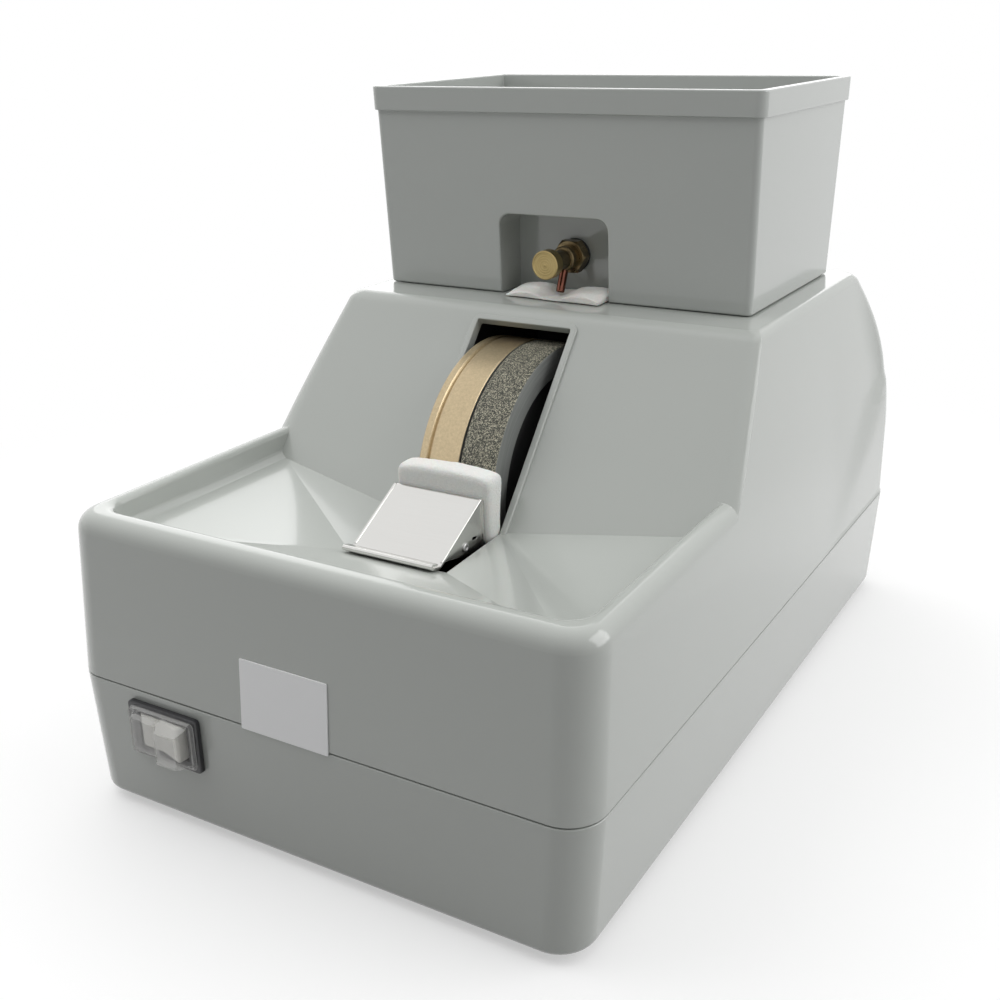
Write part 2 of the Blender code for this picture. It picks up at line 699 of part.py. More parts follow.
def basin_floor_ring(spread, drop, rear_shift, level):
    """Outline of the basin at a level: lip, rim, foot or floor."""
    rim_half = side_x(SLOPE_FOOT_Y, RIM_HEIGHT) - RAIL_WIDTH
    rim_front = front_y(RIM_HEIGHT) + FRONT_RAIL_WIDTH
    heights = {
        "above": (RIM_HEIGHT + OVERRUN, BASIN_LIP_WIDTH),
        "lip": (RIM_HEIGHT, BASIN_LIP_WIDTH),
        "neck": (RIM_HEIGHT - BASIN_LIP_DROP, 0),
        "foot": (FLOOR_HEIGHT + STRIP_HEIGHT, -BASIN_WALL_DRAFT),
        "floor": (FLOOR_HEIGHT, -BASIN_WALL_DRAFT - STRIP_WIDTH),
    }
    height, wider = heights[level]
    height -= drop
    half, front = rim_half + wider + spread, rim_front - wider - spread
    rear = slope_y(height) + rear_shift
    radius = BASIN_CORNER + wider + spread
    points = []
    for x, start in ((-half + radius, 180), (half - radius, 270)):
        for step in range(CORNER_STEPS + 1):
            a = math.radians(start + 90 * step / CORNER_STEPS)
            points.append(Vector((x + radius * math.cos(a), front + radius + radius * math.sin(a), height)))
    return points + [Vector((half, rear, height)), Vector((-half, rear, height))]


def basin_cutter(name, spread, drop, rear_shift):
    """The space of the hopper: upright walls, a sloping strip and a floor folded down to the mouth."""
    levels = ("above", "lip", "neck", "foot", "floor")
    rings = [basin_floor_ring(spread, drop, rear_shift, level) for level in levels]
    shape = bmesh.new()
    rows = [[shape.verts.new(point) for point in ring] for ring in rings]
    count = len(rows[0])
    for upper, lower in zip(rows, rows[1:]):
        for i in range(count):
            k = (i + 1) % count
            shape.faces.new((lower[i], lower[k], upper[k], upper[i]))
    shape.faces.new(rows[0])
    rear_height, front_height = MOUTH_REAR_HEIGHT - drop, MOUTH_FRONT_HEIGHT - drop
    rear = slope_y(rear_height) + rear_shift
    front_left = shape.verts.new((SLOT_LEFT, MOUTH_FRONT_Y, front_height))
    front_right = shape.verts.new((SLOT_RIGHT, MOUTH_FRONT_Y, front_height))
    rear_right = shape.verts.new((SLOT_RIGHT, rear, rear_height))
    rear_left = shape.verts.new((SLOT_LEFT, rear, rear_height))
    floor = rows[-1]
    left_arc, right_arc = floor[: CORNER_STEPS + 1], floor[CORNER_STEPS + 1 : 2 * CORNER_STEPS + 2]
    rear_right_corner, rear_left_corner = floor[-2], floor[-1]
    for a, b in zip([rear_left_corner] + left_arc, left_arc):
        shape.faces.new((a, b, front_left))
    shape.faces.new((left_arc[-1], right_arc[0], front_right, front_left))
    for a, b in zip(right_arc, right_arc[1:] + [rear_right_corner]):
        shape.faces.new((a, b, rear_right))
    shape.faces.new((right_arc[0], rear_right, front_right))
    shape.faces.new((rear_right_corner, rear_left_corner, rear_left, rear_right))
    shape.faces.new((rear_left_corner, front_left, rear_left))
    shape.faces.new((front_left, front_right, rear_right, rear_left))
    return place(name, finished_mesh(name, shape), None)


def slot_outline():
    """Section of the cut through the slope and the floor's mouth."""
    top_y = slope_y(SLOT_TOP_HEIGHT)
    outer = Vector((0, top_y, SLOT_TOP_HEIGHT)) + SLOPE_NORMAL * OVERRUN
    inner = Vector((0, top_y, SLOT_TOP_HEIGHT)) - SLOPE_NORMAL * (WALL + OVERRUN)
    low = MOUTH_FRONT_HEIGHT - WALL - OVERRUN
    front = [(MOUTH_FRONT_Y, low), (MOUTH_FRONT_Y, RIM_HEIGHT)]
    return front + [(outer.y, outer.z), (inner.y, inner.z), (inner.y, low)]


def bead_slab():
    """Raised band round the slot, before the slot is cut."""
    top = Vector((0, slope_y(SLOT_TOP_HEIGHT), SLOT_TOP_HEIGHT)) + SLOPE_UP * BEAD_WIDTH
    foot = Vector((0, slope_y(MOUTH_REAR_HEIGHT), MOUTH_REAR_HEIGHT))
    raised, sunk = SLOPE_NORMAL * BEAD_HEIGHT, SLOPE_NORMAL * -BEAD_HEIGHT
    corners = [foot + sunk, foot + raised, top + raised, top + sunk]
    outline = [(corner.y, corner.z) for corner in corners]
    return prism("slot_bead", outline, SLOT_LEFT - BEAD_WIDTH, SLOT_RIGHT + BEAD_WIDTH)


def corner_post_places():
    """Centres of the four posts, tucked into the casing's inner corners."""
    arc = CORNER_RADIUS - WALL
    reach = (arc - POST_RADIUS + POST_BITE) * math.sqrt(0.5)
    x = HALF_WIDTH - TRAY_SIDE_DRAFT - CORNER_RADIUS + reach
    y = HALF_DEPTH - TRAY_BACK_DRAFT - CORNER_RADIUS + reach
    return [(x * i, y * k) for i in (-1, 1) for k in (-1, 1)]


def upper_cover():
    cover = loft("upper_cover", block_rings(0, RIM_HEIGHT, RIM_ROUND), CASING)
    bottom = RIM_HEIGHT - 2 * RIM_ROUND
    hump = loft("hump", hump_rings(FLUSH_STEP, 0, bottom, PLATFORM_HEIGHT, PLATFORM_ROUND))
    cut(cover, hump, "UNION")
    cut(cover, bead_slab(), "UNION")
    cut(cover, basin_cutter("basin", 0, 0, -FLUSH_STEP))
    cavity = loft("cover_cavity", block_rings(WALL, RIM_HEIGHT - WALL, 0))
    skin = WALL + FLUSH_STEP
    inner = hump_rings(skin, WALL_RUN, bottom, PLATFORM_HEIGHT - WALL, 0)
    cut(cavity, loft("hump_cavity", inner), "UNION")
    cut(cavity, basin_cutter("basin_skin", WALL, WALL, WALL_RUN + FLUSH_STEP))
    cut(cover, cavity)
    cut(cover, prism("slot_cut", slot_outline(), SLOT_LEFT, SLOT_RIGHT))
    slot_y = (TANK_FRONT_Y + NICHE_BACK_Y - DRAIN_SLOT_DEPTH) / 2
    slot_x = (NICHE_LEFT + NICHE_RIGHT - DRAIN_SLOT_WIDTH) / 2
    low = (slot_x, slot_y, PLATFORM_HEIGHT - WALL - OVERRUN)
    high = (slot_x + DRAIN_SLOT_WIDTH, slot_y + DRAIN_SLOT_DEPTH, PLATFORM_HEIGHT + OVERRUN)
    cut(cover, box("drip_slot", low, high))
    for i, (x, y) in enumerate(corner_post_places()):
        start = SEAM_HEIGHT + TONGUE_HEIGHT
        foot = (x, y, start)
        post = rod_profile(POST_RADIUS, 0, POST_HEIGHT)
        cut(cover, turned("cover_post_%d" % i, post, foot, "Z", sides=SMALL_SIDES), "UNION")
        far = math.copysign(HALF_DEPTH - WALL + POST_RIB_BITE, y)
        low = (x - POST_RIB / 2, min(y, far), start + GAP)
        high = (x + POST_RIB / 2, max(y, far), start + POST_HEIGHT - GAP)
        cut(cover, box("cover_post_rib_%d" % i, low, high), "UNION")
        hole = rod_profile(SCREW_RADIUS + GAP, -OVERRUN, SCREW_ENGAGEMENT + GAP)
        cut(cover, turned("cover_post_hole_%d" % i, hole, foot, "Z", sides=SMALL_SIDES))
    return cover


def tray_ring(height, inset):
    """A ring of the tray, which narrows towards the ground."""
    share = (SEAM_HEIGHT - height) / (SEAM_HEIGHT - FOOT_HEIGHT)
    half = HALF_WIDTH - TRAY_SIDE_DRAFT * share - inset
    back = HALF_DEPTH - TRAY_BACK_DRAFT * share - inset
    radius = max(CORNER_RADIUS - inset, STACK_GAP)
    return plan_ring(half, -HALF_DEPTH + inset, back, radius, height)


def tray_outer_rings():
    rings = []
    for step in range(EDGE_STEPS + 1):
        angle = math.radians(90 * step / EDGE_STEPS)
        height = FOOT_HEIGHT + TRAY_EDGE_RADIUS * (1 - math.cos(angle))
        rings.append(tray_ring(height, TRAY_EDGE_RADIUS * (1 - math.sin(angle))))
    top = SEAM_HEIGHT - SEAM_REVEAL
    tongue = WALL + GAP + BELT_LEAN
    rings.append(tray_ring(top, 0))
    rings.append(tray_ring(top, tongue))
    rings.append(tray_ring(top + TONGUE_HEIGHT, tongue + BELT_LEAN / 2))
    return rings


def tray_inner_rings():
    thick = WALL + GAP + BELT_LEAN + TONGUE_THICKNESS
    top = SEAM_HEIGHT + TONGUE_HEIGHT + OVERRUN
    root = SEAM_HEIGHT - TONGUE_ROOT
    return [
        tray_ring(TRAY_FLOOR, TRAY_EDGE_RADIUS),
        tray_ring(TRAY_FLOOR + WALL, WALL),
        tray_ring(root - WALL, WALL),
        tray_ring(root, thick),
        tray_ring(top, thick),
    ]


def foot_places():
    x, y = HALF_WIDTH - FOOT_INSET, HALF_DEPTH - FOOT_INSET
    return [("front_left", -x, -y), ("front_right", x, -y), ("rear_left", -x, y), ("rear_right", x, y)]


def lower_tray():
    tray = loft("lower_tray", tray_outer_rings(), CASING)
    cut(tray, loft("tray_cavity", tray_inner_rings()))
    for i, (x, y) in enumerate(corner_post_places()):
        height = SEAM_HEIGHT - SEAM_REVEAL + TONGUE_HEIGHT - TRAY_FLOOR
        start = (x, y, TRAY_FLOOR)
        post = rod_profile(POST_RADIUS, -WALL / 2, height)
        cut(tray, turned("tray_post_%d" % i, post, start, "Z", sides=SMALL_SIDES), "UNION")
        wide, narrow = SCREW_HEAD_RADIUS + GAP, SCREW_RADIUS + GAP
        top = SEAM_HEIGHT + TONGUE_HEIGHT + OVERRUN
        well = [(0, top), (narrow, top), (narrow, SCREW_SEAT_HEIGHT)]
        well += [(wide, SCREW_SEAT_HEIGHT), (wide, -OVERRUN), (0, -OVERRUN)]
        cut(tray, turned("screw_well_%d" % i, well, (x, y, 0), "Z", sides=SMALL_SIDES))
    half_width, half_height = SWITCH_BODY_WIDTH / 2 + GAP, SWITCH_BODY_HEIGHT / 2 + GAP
    low = (SWITCH_X - half_width, -HALF_DEPTH - OVERRUN, SWITCH_Z - half_height)
    high = (SWITCH_X + half_width, -HALF_DEPTH + WALL + OVERRUN, SWITCH_Z + half_height)
    cut(tray, box("switch_window", low, high))
    half_width, half_height = INLET_WIDTH / 2 + GAP, INLET_HEIGHT / 2 + GAP
    low = (INLET_X - half_width, HALF_DEPTH - WALL - TRAY_BACK_DRAFT - OVERRUN, INLET_Z - half_height)
    high = (INLET_X + half_width, HALF_DEPTH + OVERRUN, INLET_Z + half_height)
    cut(tray, box("inlet_window", low, high))
    rib_half = CHASSIS_HALF_WIDTH - WALL
    for i, y in enumerate((CHASSIS_FRONT_Y + WALL, CHASSIS_BACK_Y - WALL - WALL)):
        low = (-rib_half, y, TRAY_FLOOR - WALL / 2)
        high = (rib_half, y + WALL, CHASSIS_BASE - GAP)
        cut(tray, box("chassis_rib_%d" % i, low, high), "UNION")
    middle = (SLOT_LEFT + SLOT_RIGHT) / 2
    drain = rod_profile(DRAIN_RADIUS + GAP, -OVERRUN, TRAY_FLOOR + OVERRUN)
    cut(tray, turned("drain_hole", drain, (middle, DRAIN_Y, 0), "Z"))
    return tray


def feet_and_screws():
    for name, x, y in foot_places():
        profile = rod_profile(FOOT_RADIUS, 0, FOOT_HEIGHT - STACK_GAP)
        turned("foot_" + name, profile, (x, y, 0), "Z", RUBBER, SMALL_SIDES)
    for i, (x, y) in enumerate(corner_post_places()):
        seat = SCREW_SEAT_HEIGHT - GAP
        tip = SEAM_HEIGHT + SCREW_ENGAGEMENT
        profile = [(0, tip), (SCREW_RADIUS, tip), (SCREW_RADIUS, seat), (SCREW_HEAD_RADIUS, seat)]
        profile += [(SCREW_HEAD_RADIUS, seat - SCREW_HEAD_HEIGHT), (0, seat - SCREW_HEAD_HEIGHT)]
        turned("cover_screw_%d" % (i + 1), profile, (x, y, 0), "Z", STEEL, SMALL_SIDES)


def switch_place():
    """The switch's own axis: the tray's front is upright there."""
    return Vector((SWITCH_X, -HALF_DEPTH, SWITCH_Z))


def switch_housing():
    x, y, z = switch_place()
    half_w, half_h = SWITCH_FRAME_WIDTH / 2, SWITCH_FRAME_HEIGHT / 2
    low = (x - half_w, y - SWITCH_FRAME_PROUD, z - half_h)
    high = (x + half_w, y - GAP, z + half_h)
    housing = box("switch_housing", low, high, BLACK_PLASTIC)
    half_w, half_h = SWITCH_BODY_WIDTH / 2, SWITCH_BODY_HEIGHT / 2
    low = (x - half_w, y - SWITCH_FRAME_PROUD / 2, z - half_h)
    high = (x + half_w, y + SWITCH_BODY_DEPTH, z + half_h)
    cut(housing, box("switch_body", low, high), "UNION")
    half_w, half_h = ROCKER_WIDTH / 2 + BOOT_MARGIN, ROCKER_HEIGHT / 2 + GAP
    depth = ROCKER_PIVOT_DEPTH + ROCKER_KEEL + ROCKER_WIDTH / 2 * math.sin(2 * ROCKER_TILT) + GAP
    low = (x - half_w, y - OVERRUN, z - half_h)
    high = (x + half_w, y + depth, z + half_h)
    cut(housing, box("rocker_well", low, high))
    return housing


def rocker_outline():
    """Tipped rocker seen from above, in (along X, along Y) from its pivot: two lobes and a valley."""
    half = ROCKER_WIDTH / 2
    rise = ROCKER_PIVOT_DEPTH + ROCKER_CROWN
    valley = rise - half * math.sin(ROCKER_TILT)
    outline = [(-half, 0), (-half, -rise), (0, -valley), (half, -rise), (half, 0), (0, ROCKER_KEEL)]
    tipped = Matrix.Rotation(-ROCKER_TILT, 2)
    return [tipped @ Vector(point) for point in outline]


def switch_rocker():
    pivot = switch_place() + Vector((0, ROCKER_PIVOT_DEPTH, 0))
    half = ROCKER_HEIGHT / 2
    return prism("switch_rocker", rocker_outline(), -half, half, ROCKER_PLASTIC, "Z", pivot)


def switch_boot():
    """Clear dome over the rocker, with room for both of its positions, open towards the switch."""
    x, y, z = switch_place()
    face = y - SWITCH_FRAME_PROUD - STACK_GAP
    half_w, half_h = SWITCH_FRAME_WIDTH / 2 - BOOT_FLANGE, SWITCH_FRAME_HEIGHT / 2 - BOOT_FLANGE
    low = (x - half_w, face - BOOT_FLANGE, z - half_h)
    boot = box("switch_boot", low, (x + half_w, face, z + half_h), CLEAR_RUBBER)
    half_w = ROCKER_WIDTH / 2 + BOOT_MARGIN + BOOT_WALL
    half_h = ROCKER_HEIGHT / 2 + BOOT_MARGIN + BOOT_WALL
    low = (x - half_w, face - BOOT_HEIGHT, z - half_h)
    high = (x + half_w, face - BOOT_FLANGE / 2, z + half_h)
    cut(boot, box("boot_dome", low, high, bevel=BOOT_WALL * 2), "UNION")
    low = (low[0] + BOOT_WALL, low[1] + BOOT_WALL, low[2] + BOOT_WALL)
    high = (high[0] - BOOT_WALL, face + OVERRUN, high[2] - BOOT_WALL)
    cut(boot, box("boot_hollow", low, high))
    return boot


def power_inlet():
    """Snap-in mains socket, flush with the tray's back and held by a flange inside."""
    back = HALF_DEPTH - TRAY_BACK_DRAFT
    half_w, half_h = INLET_WIDTH / 2, INLET_HEIGHT / 2
    low = (INLET_X - half_w, back - INLET_DEPTH, INLET_Z - half_h)
    inlet = box("power_inlet", low, (INLET_X + half_w, back, INLET_Z + half_h), BLACK_PLASTIC)
    inner = back - WALL - GAP
    low = (INLET_X - half_w - INLET_FLANGE, inner - INLET_FLANGE_THICKNESS, INLET_Z - half_h - INLET_FLANGE)
    high = (INLET_X + half_w + INLET_FLANGE, inner, INLET_Z + half_h + INLET_FLANGE)
    cut(inlet, box("inlet_flange", low, high), "UNION")
    half_w, half_h = INLET_SOCKET_WIDTH / 2, INLET_SOCKET_HEIGHT / 2
    low = (INLET_X - half_w, back - INLET_SOCKET_DEPTH, INLET_Z - half_h)
    cut(inlet, box("inlet_socket", low, (INLET_X + half_w, back + OVERRUN, INLET_Z + half_h)))
    names = ("live", "earth", "neutral")
    for i, name in enumerate(names):
        x = INLET_X + (i - 1) * PIN_SPACING
        z = INLET_Z + (PIN_RISE if name == "earth" else -PIN_RISE)
        start, end = back - INLET_DEPTH - OVERRUN, back - INLET_DEPTH - OVERRUN + PIN_LENGTH
        low = (x - PIN_WIDTH / 2, start, z - PIN_HEIGHT / 2)
        high = (x + PIN_WIDTH / 2, end, z + PIN_HEIGHT / 2)
        box("inlet_pin_" + name, low, high, BRASS)
        grown = Vector((STACK_GAP, 0, STACK_GAP))
        clear = (Vector(low) - grown - Vector((0, OVERRUN, 0)), Vector(high) + grown)
        cut(inlet, box("inlet_pin_hole_" + name, *clear))
    return inlet


def label_plate():
    """Blank plate on the cover's drafted front, reaching just past the seam."""
    lean = RIM_FRONT_DRAFT / (RIM_HEIGHT - SEAM_HEIGHT)
    outline = []
    for height, proud in ((LABEL_BOTTOM, 0), (LABEL_BOTTOM, 1), (LABEL_TOP, 1), (LABEL_TOP, 0)):
        surface = -HALF_DEPTH + lean * (height - SEAM_HEIGHT) - STACK_GAP
        outline.append((surface - LABEL_THICKNESS * proud, height))
    return prism("label_plate", outline, LABEL_LEFT, LABEL_RIGHT, WHITE_PLATE)


def wheel_profile(width, groove):
    """Section of a wheel with a chamfered rim, and a V groove near its left side when asked."""
    bore = SPINDLE_RADIUS + STACK_GAP
    rim_left = [(WHEEL_RADIUS, WHEEL_CHAMFER), (WHEEL_RADIUS - WHEEL_CHAMFER, 0)]
    rim_right = [(WHEEL_RADIUS - WHEEL_CHAMFER, width), (WHEEL_RADIUS, width - WHEEL_CHAMFER)]
    cuts = []
    if groove:
        half = GROOVE_WIDTH / 2
        middle = GROOVE_SETBACK + half
        cuts = [(WHEEL_RADIUS, middle + half), (WHEEL_RADIUS - GROOVE_DEPTH, middle)]
        cuts.append((WHEEL_RADIUS, middle - half))
    return [(bore, width)] + rim_right + cuts + rim_left + [(bore, 0)]


def spindle_stack():
    """Shaft with the wheels clamped between two flanges, from right to left."""
    centre = Vector((0, SPINDLE_Y, SPINDLE_Z))
    bore = SPINDLE_RADIUS + STACK_GAP
    shaft = rod_profile(SPINDLE_RADIUS, SPINDLE_LEFT, SPINDLE_RIGHT, SPINDLE_CHAMFER)
    turned("spindle_shaft", shaft, centre, "X", STEEL, ROUND_SIDES)
    x = WHEEL_RIGHT + FLANGE_WIDTH + STACK_GAP
    flange = ring_profile(bore, FLANGE_RADIUS, WHEEL_RIGHT + STACK_GAP, x)
    turned("inner_flange", flange, centre, "X", STEEL, ROUND_SIDES)
    x = WHEEL_RIGHT - COARSE_WIDTH
    wheel = wheel_profile(COARSE_WIDTH, False)
    turned("coarse_wheel", wheel, centre + Vector((x, 0, 0)), "X", COARSE_GRIT, FINE_SIDES)
    x -= SPACER_WIDTH
    spacer = ring_profile(bore, WHEEL_RADIUS - SPACER_INSET, x + STACK_GAP, x + SPACER_WIDTH - STACK_GAP)
    turned("wheel_spacer", spacer, centre, "X", RUBBER, FINE_SIDES)
    x -= FINE_WIDTH
    wheel = wheel_profile(FINE_WIDTH, True)
    turned("fine_wheel", wheel, centre + Vector((x, 0, 0)), "X", FINE_GRIT, FINE_SIDES)
    flange = ring_profile(bore, FLANGE_RADIUS, x - STACK_GAP - FLANGE_WIDTH / 2, x - STACK_GAP)
    turned("outer_flange", flange, centre, "X", STEEL, ROUND_SIDES)
    x -= 2 * STACK_GAP + FLANGE_WIDTH / 2
    hexagon("spindle_nut", NUT_FLATS, x - NUT_WIDTH, x, centre, "X", STEEL, bore)
    pulley("spindle_pulley", SPINDLE_PULLEY_RADIUS, bore, centre)


def pulley(name, radius, bore, centre):
    left, right = PULLEY_LEFT, PULLEY_LEFT + PULLEY_WIDTH
    rim = radius + PULLEY_RIM
    groove_left, groove_right = left + PULLEY_RIM_WIDTH, right - PULLEY_RIM_WIDTH
    profile = [(bore, right), (rim, right), (rim, groove_right), (radius, groove_right)]
    profile += [(radius, groove_left), (rim, groove_left), (rim, left), (bore, left)]
    return turned(name, profile, centre, "X", ALUMINIUM, ROUND_SIDES)


def belt_loop(offset):
    """Outline of an open belt round both pulleys, offset outwards from their grooves."""
    first, second = Vector((SPINDLE_Y, SPINDLE_Z)), Vector((MOTOR_Y, MOTOR_Z))
    r1, r2 = SPINDLE_PULLEY_RADIUS + offset, MOTOR_PULLEY_RADIUS + offset
    between = second - first
    heading = math.atan2(between.y, between.x)
    swing = math.acos((r1 - r2) / between.length)
    steps = ROUND_SIDES // 2
    points = []
    for centre, radius, start, end in (
        (first, r1, heading + swing, heading + 2 * math.pi - swing),
        (second, r2, heading - swing, heading + swing),
    ):
        for step in range(steps + 1):
            a = start + (end - start) * step / steps
            points.append(centre + Vector((math.cos(a), math.sin(a))) * radius)
    return points


def drive_belt():
    clear = GAP + (1 / math.cos(math.pi / ROUND_SIDES) - 1) * MOTOR_PULLEY_RADIUS
    start = PULLEY_LEFT + PULLEY_RIM_WIDTH + BELT_SIDE_GAP
    end = PULLEY_LEFT + PULLEY_WIDTH - PULLEY_RIM_WIDTH - BELT_SIDE_GAP
    belt = prism("drive_belt", belt_loop(clear + BELT_THICKNESS), start, end, RUBBER)
    cut(belt, prism("belt_inside", belt_loop(clear), start - OVERRUN, end + OVERRUN))
    return belt


def motor():
    centre = Vector((0, MOTOR_Y, MOTOR_Z))
    left, right = MOTOR_CASE_LEFT, MOTOR_CASE_LEFT + MOTOR_CASE_LENGTH
    inner = MOTOR_RADIUS - MOTOR_CASE_WALL
    case = ring_profile(inner, MOTOR_RADIUS, left, right)
    turned("motor_case", case, centre, "X", GREEN_ENAMEL, ROUND_SIDES)
    bore = MOTOR_SHAFT_RADIUS + STACK_GAP
    for name, joint, outward in (("motor_end_left", left, -1), ("motor_end_right", right, 1)):
        base = joint + outward * STACK_GAP
        inside = base + outward * (MOTOR_END_DEPTH - MOTOR_END_WALL)
        outside = base + outward * MOTOR_END_DEPTH
        shoulder = MOTOR_RADIUS - MOTOR_END_WALL
        profile = [(bore, outside), (shoulder, outside), (MOTOR_RADIUS, inside), (MOTOR_RADIUS, base)]
        profile += [(inner, base), (inner, inside), (bore, inside)]
        if outward < 0:
            profile.reverse()
        turned(name, profile, centre, "X", ALUMINIUM, ROUND_SIDES)
    stator = ring_profile(ROTOR_RADIUS + AIR_GAP, inner - GAP, left + STATOR_SETBACK, right - STATOR_SETBACK)
    turned("stator_core", stator, centre, "X", COPPER, ROUND_SIDES)
    rotor = ring_profile(bore, ROTOR_RADIUS, left + ROTOR_SETBACK, right - ROTOR_SETBACK)
    turned("rotor_core", rotor, centre, "X", STEEL, ROUND_SIDES)
    shaft = rod_profile(MOTOR_SHAFT_RADIUS, MOTOR_SHAFT_LEFT, PULLEY_LEFT + PULLEY_WIDTH + GAP)
    turned("motor_shaft", shaft, centre, "X", STEEL, ROUND_SIDES)
    pulley("motor_pulley", MOTOR_PULLEY_RADIUS, bore, centre)


def motor_cradle():
    start = MOTOR_CASE_LEFT + (MOTOR_CASE_LENGTH - CRADLE_LENGTH) / 2
    base, top = CHASSIS_TOP + GAP, MOTOR_Z - MOTOR_RADIUS / 2
    low = (start, MOTOR_Y - CRADLE_HALF_WIDTH, base)
    high = (start + CRADLE_LENGTH, MOTOR_Y + CRADLE_HALF_WIDTH, top)
    cradle = box("motor_cradle", low, high, STEEL)
    seat = rod_profile(MOTOR_RADIUS + GAP, start - OVERRUN, start + CRADLE_LENGTH + OVERRUN)
    cut(cradle, turned("cradle_seat", seat, Vector((0, MOTOR_Y, MOTOR_Z)), "X"))
    return cradle


def pedestal(name, left, face_left):
    """Bearing stand. The pocket opens away from the wheels."""
    base = CHASSIS_TOP + GAP
    outline = [(SPINDLE_Y - PEDESTAL_HALF_BASE, base), (SPINDLE_Y + PEDESTAL_HALF_BASE, base)]
    for step in range(CORNER_STEPS * 2 + 1):
        a = math.pi * step / (CORNER_STEPS * 2)
        outline.append((SPINDLE_Y + PEDESTAL_HEAD * math.cos(a), SPINDLE_Z + PEDESTAL_HEAD * math.sin(a)))
    stand = prism(name, outline, left, left + PEDESTAL_WIDTH, ALUMINIUM)
    centre = Vector((0, SPINDLE_Y, SPINDLE_Z))
    right = left + PEDESTAL_WIDTH
    through = rod_profile(BEARING_SHOULDER, left - OVERRUN, right + OVERRUN)
    cut(stand, turned(name + "_bore", through, centre, "X"))
    depth = BEARING_WIDTH + GAP
    start, end = (left - OVERRUN, left + depth) if face_left else (right - depth, right + OVERRUN)
    cut(stand, turned(name + "_pocket", rod_profile(BEARING_RADIUS + STACK_GAP, start, end), centre, "X"))
    return stand


def spindle_supports():
    centre = Vector((0, SPINDLE_Y, SPINDLE_Z))
    left = TUB_LEFT - PEDESTAL_OFFSET - PEDESTAL_WIDTH
    right = TUB_RIGHT + PEDESTAL_OFFSET
    pedestal("pedestal_left", left, True)
    pedestal("pedestal_right", right, False)
    outer = right + PEDESTAL_WIDTH
    bore = SPINDLE_RADIUS + STACK_GAP
    for name, start in (("bearing_left", left), ("bearing_right", outer - BEARING_WIDTH)):
        ring = ring_profile(bore, BEARING_RADIUS, start, start + BEARING_WIDTH, BEARING_CHAMFER)
        turned(name, ring, centre, "X", STEEL, ROUND_SIDES)


def chassis_plate():
    low = (-CHASSIS_HALF_WIDTH, CHASSIS_FRONT_Y, CHASSIS_BASE)
    return box("chassis_plate", low, (CHASSIS_HALF_WIDTH, CHASSIS_BACK_Y, CHASSIS_TOP), STEEL)


def wheel_tub():
    """Open trough under the wheels and the basin's mouth, with a drain pipe through the tray."""
    low = (TUB_LEFT, TUB_FRONT, TUB_BASE)
    tub = box("wheel_tub", low, (TUB_RIGHT, TUB_BACK, TUB_TOP), TUB_PLASTIC)
    middle = (SLOT_LEFT + SLOT_RIGHT) / 2
    pipe = rod_profile(DRAIN_RADIUS, FOOT_HEIGHT + GAP, TUB_BASE + TUB_WALL / 2)
    cut(tub, turned("drain_pipe", pipe, (middle, DRAIN_Y, 0), "Z"), "UNION")
    inner_low = (TUB_LEFT + TUB_WALL, TUB_FRONT + TUB_WALL, TUB_BASE + TUB_WALL)
    cut(tub, box("tub_hollow", inner_low, (TUB_RIGHT - TUB_WALL, TUB_BACK - TUB_WALL, TUB_TOP + OVERRUN)))
    bore = rod_profile(DRAIN_BORE, -OVERRUN, TUB_BASE + TUB_WALL + OVERRUN)
    cut(tub, turned("drain_bore", bore, (middle, DRAIN_Y, 0), "Z", sides=SMALL_SIDES))
    top, head = FOOT_HEIGHT, FOOT_HEIGHT - PLUG_HEAD
    plug = [(0, PLUG_LENGTH), (DRAIN_BORE - GAP, PLUG_LENGTH), (DRAIN_BORE - GAP, top), (DRAIN_RADIUS, top)]
    plug += [(DRAIN_RADIUS, head), (0, head)]
    turned("drain_plug", plug, (middle, DRAIN_Y, 0), "Z", RUBBER, SMALL_SIDES)
    return tub


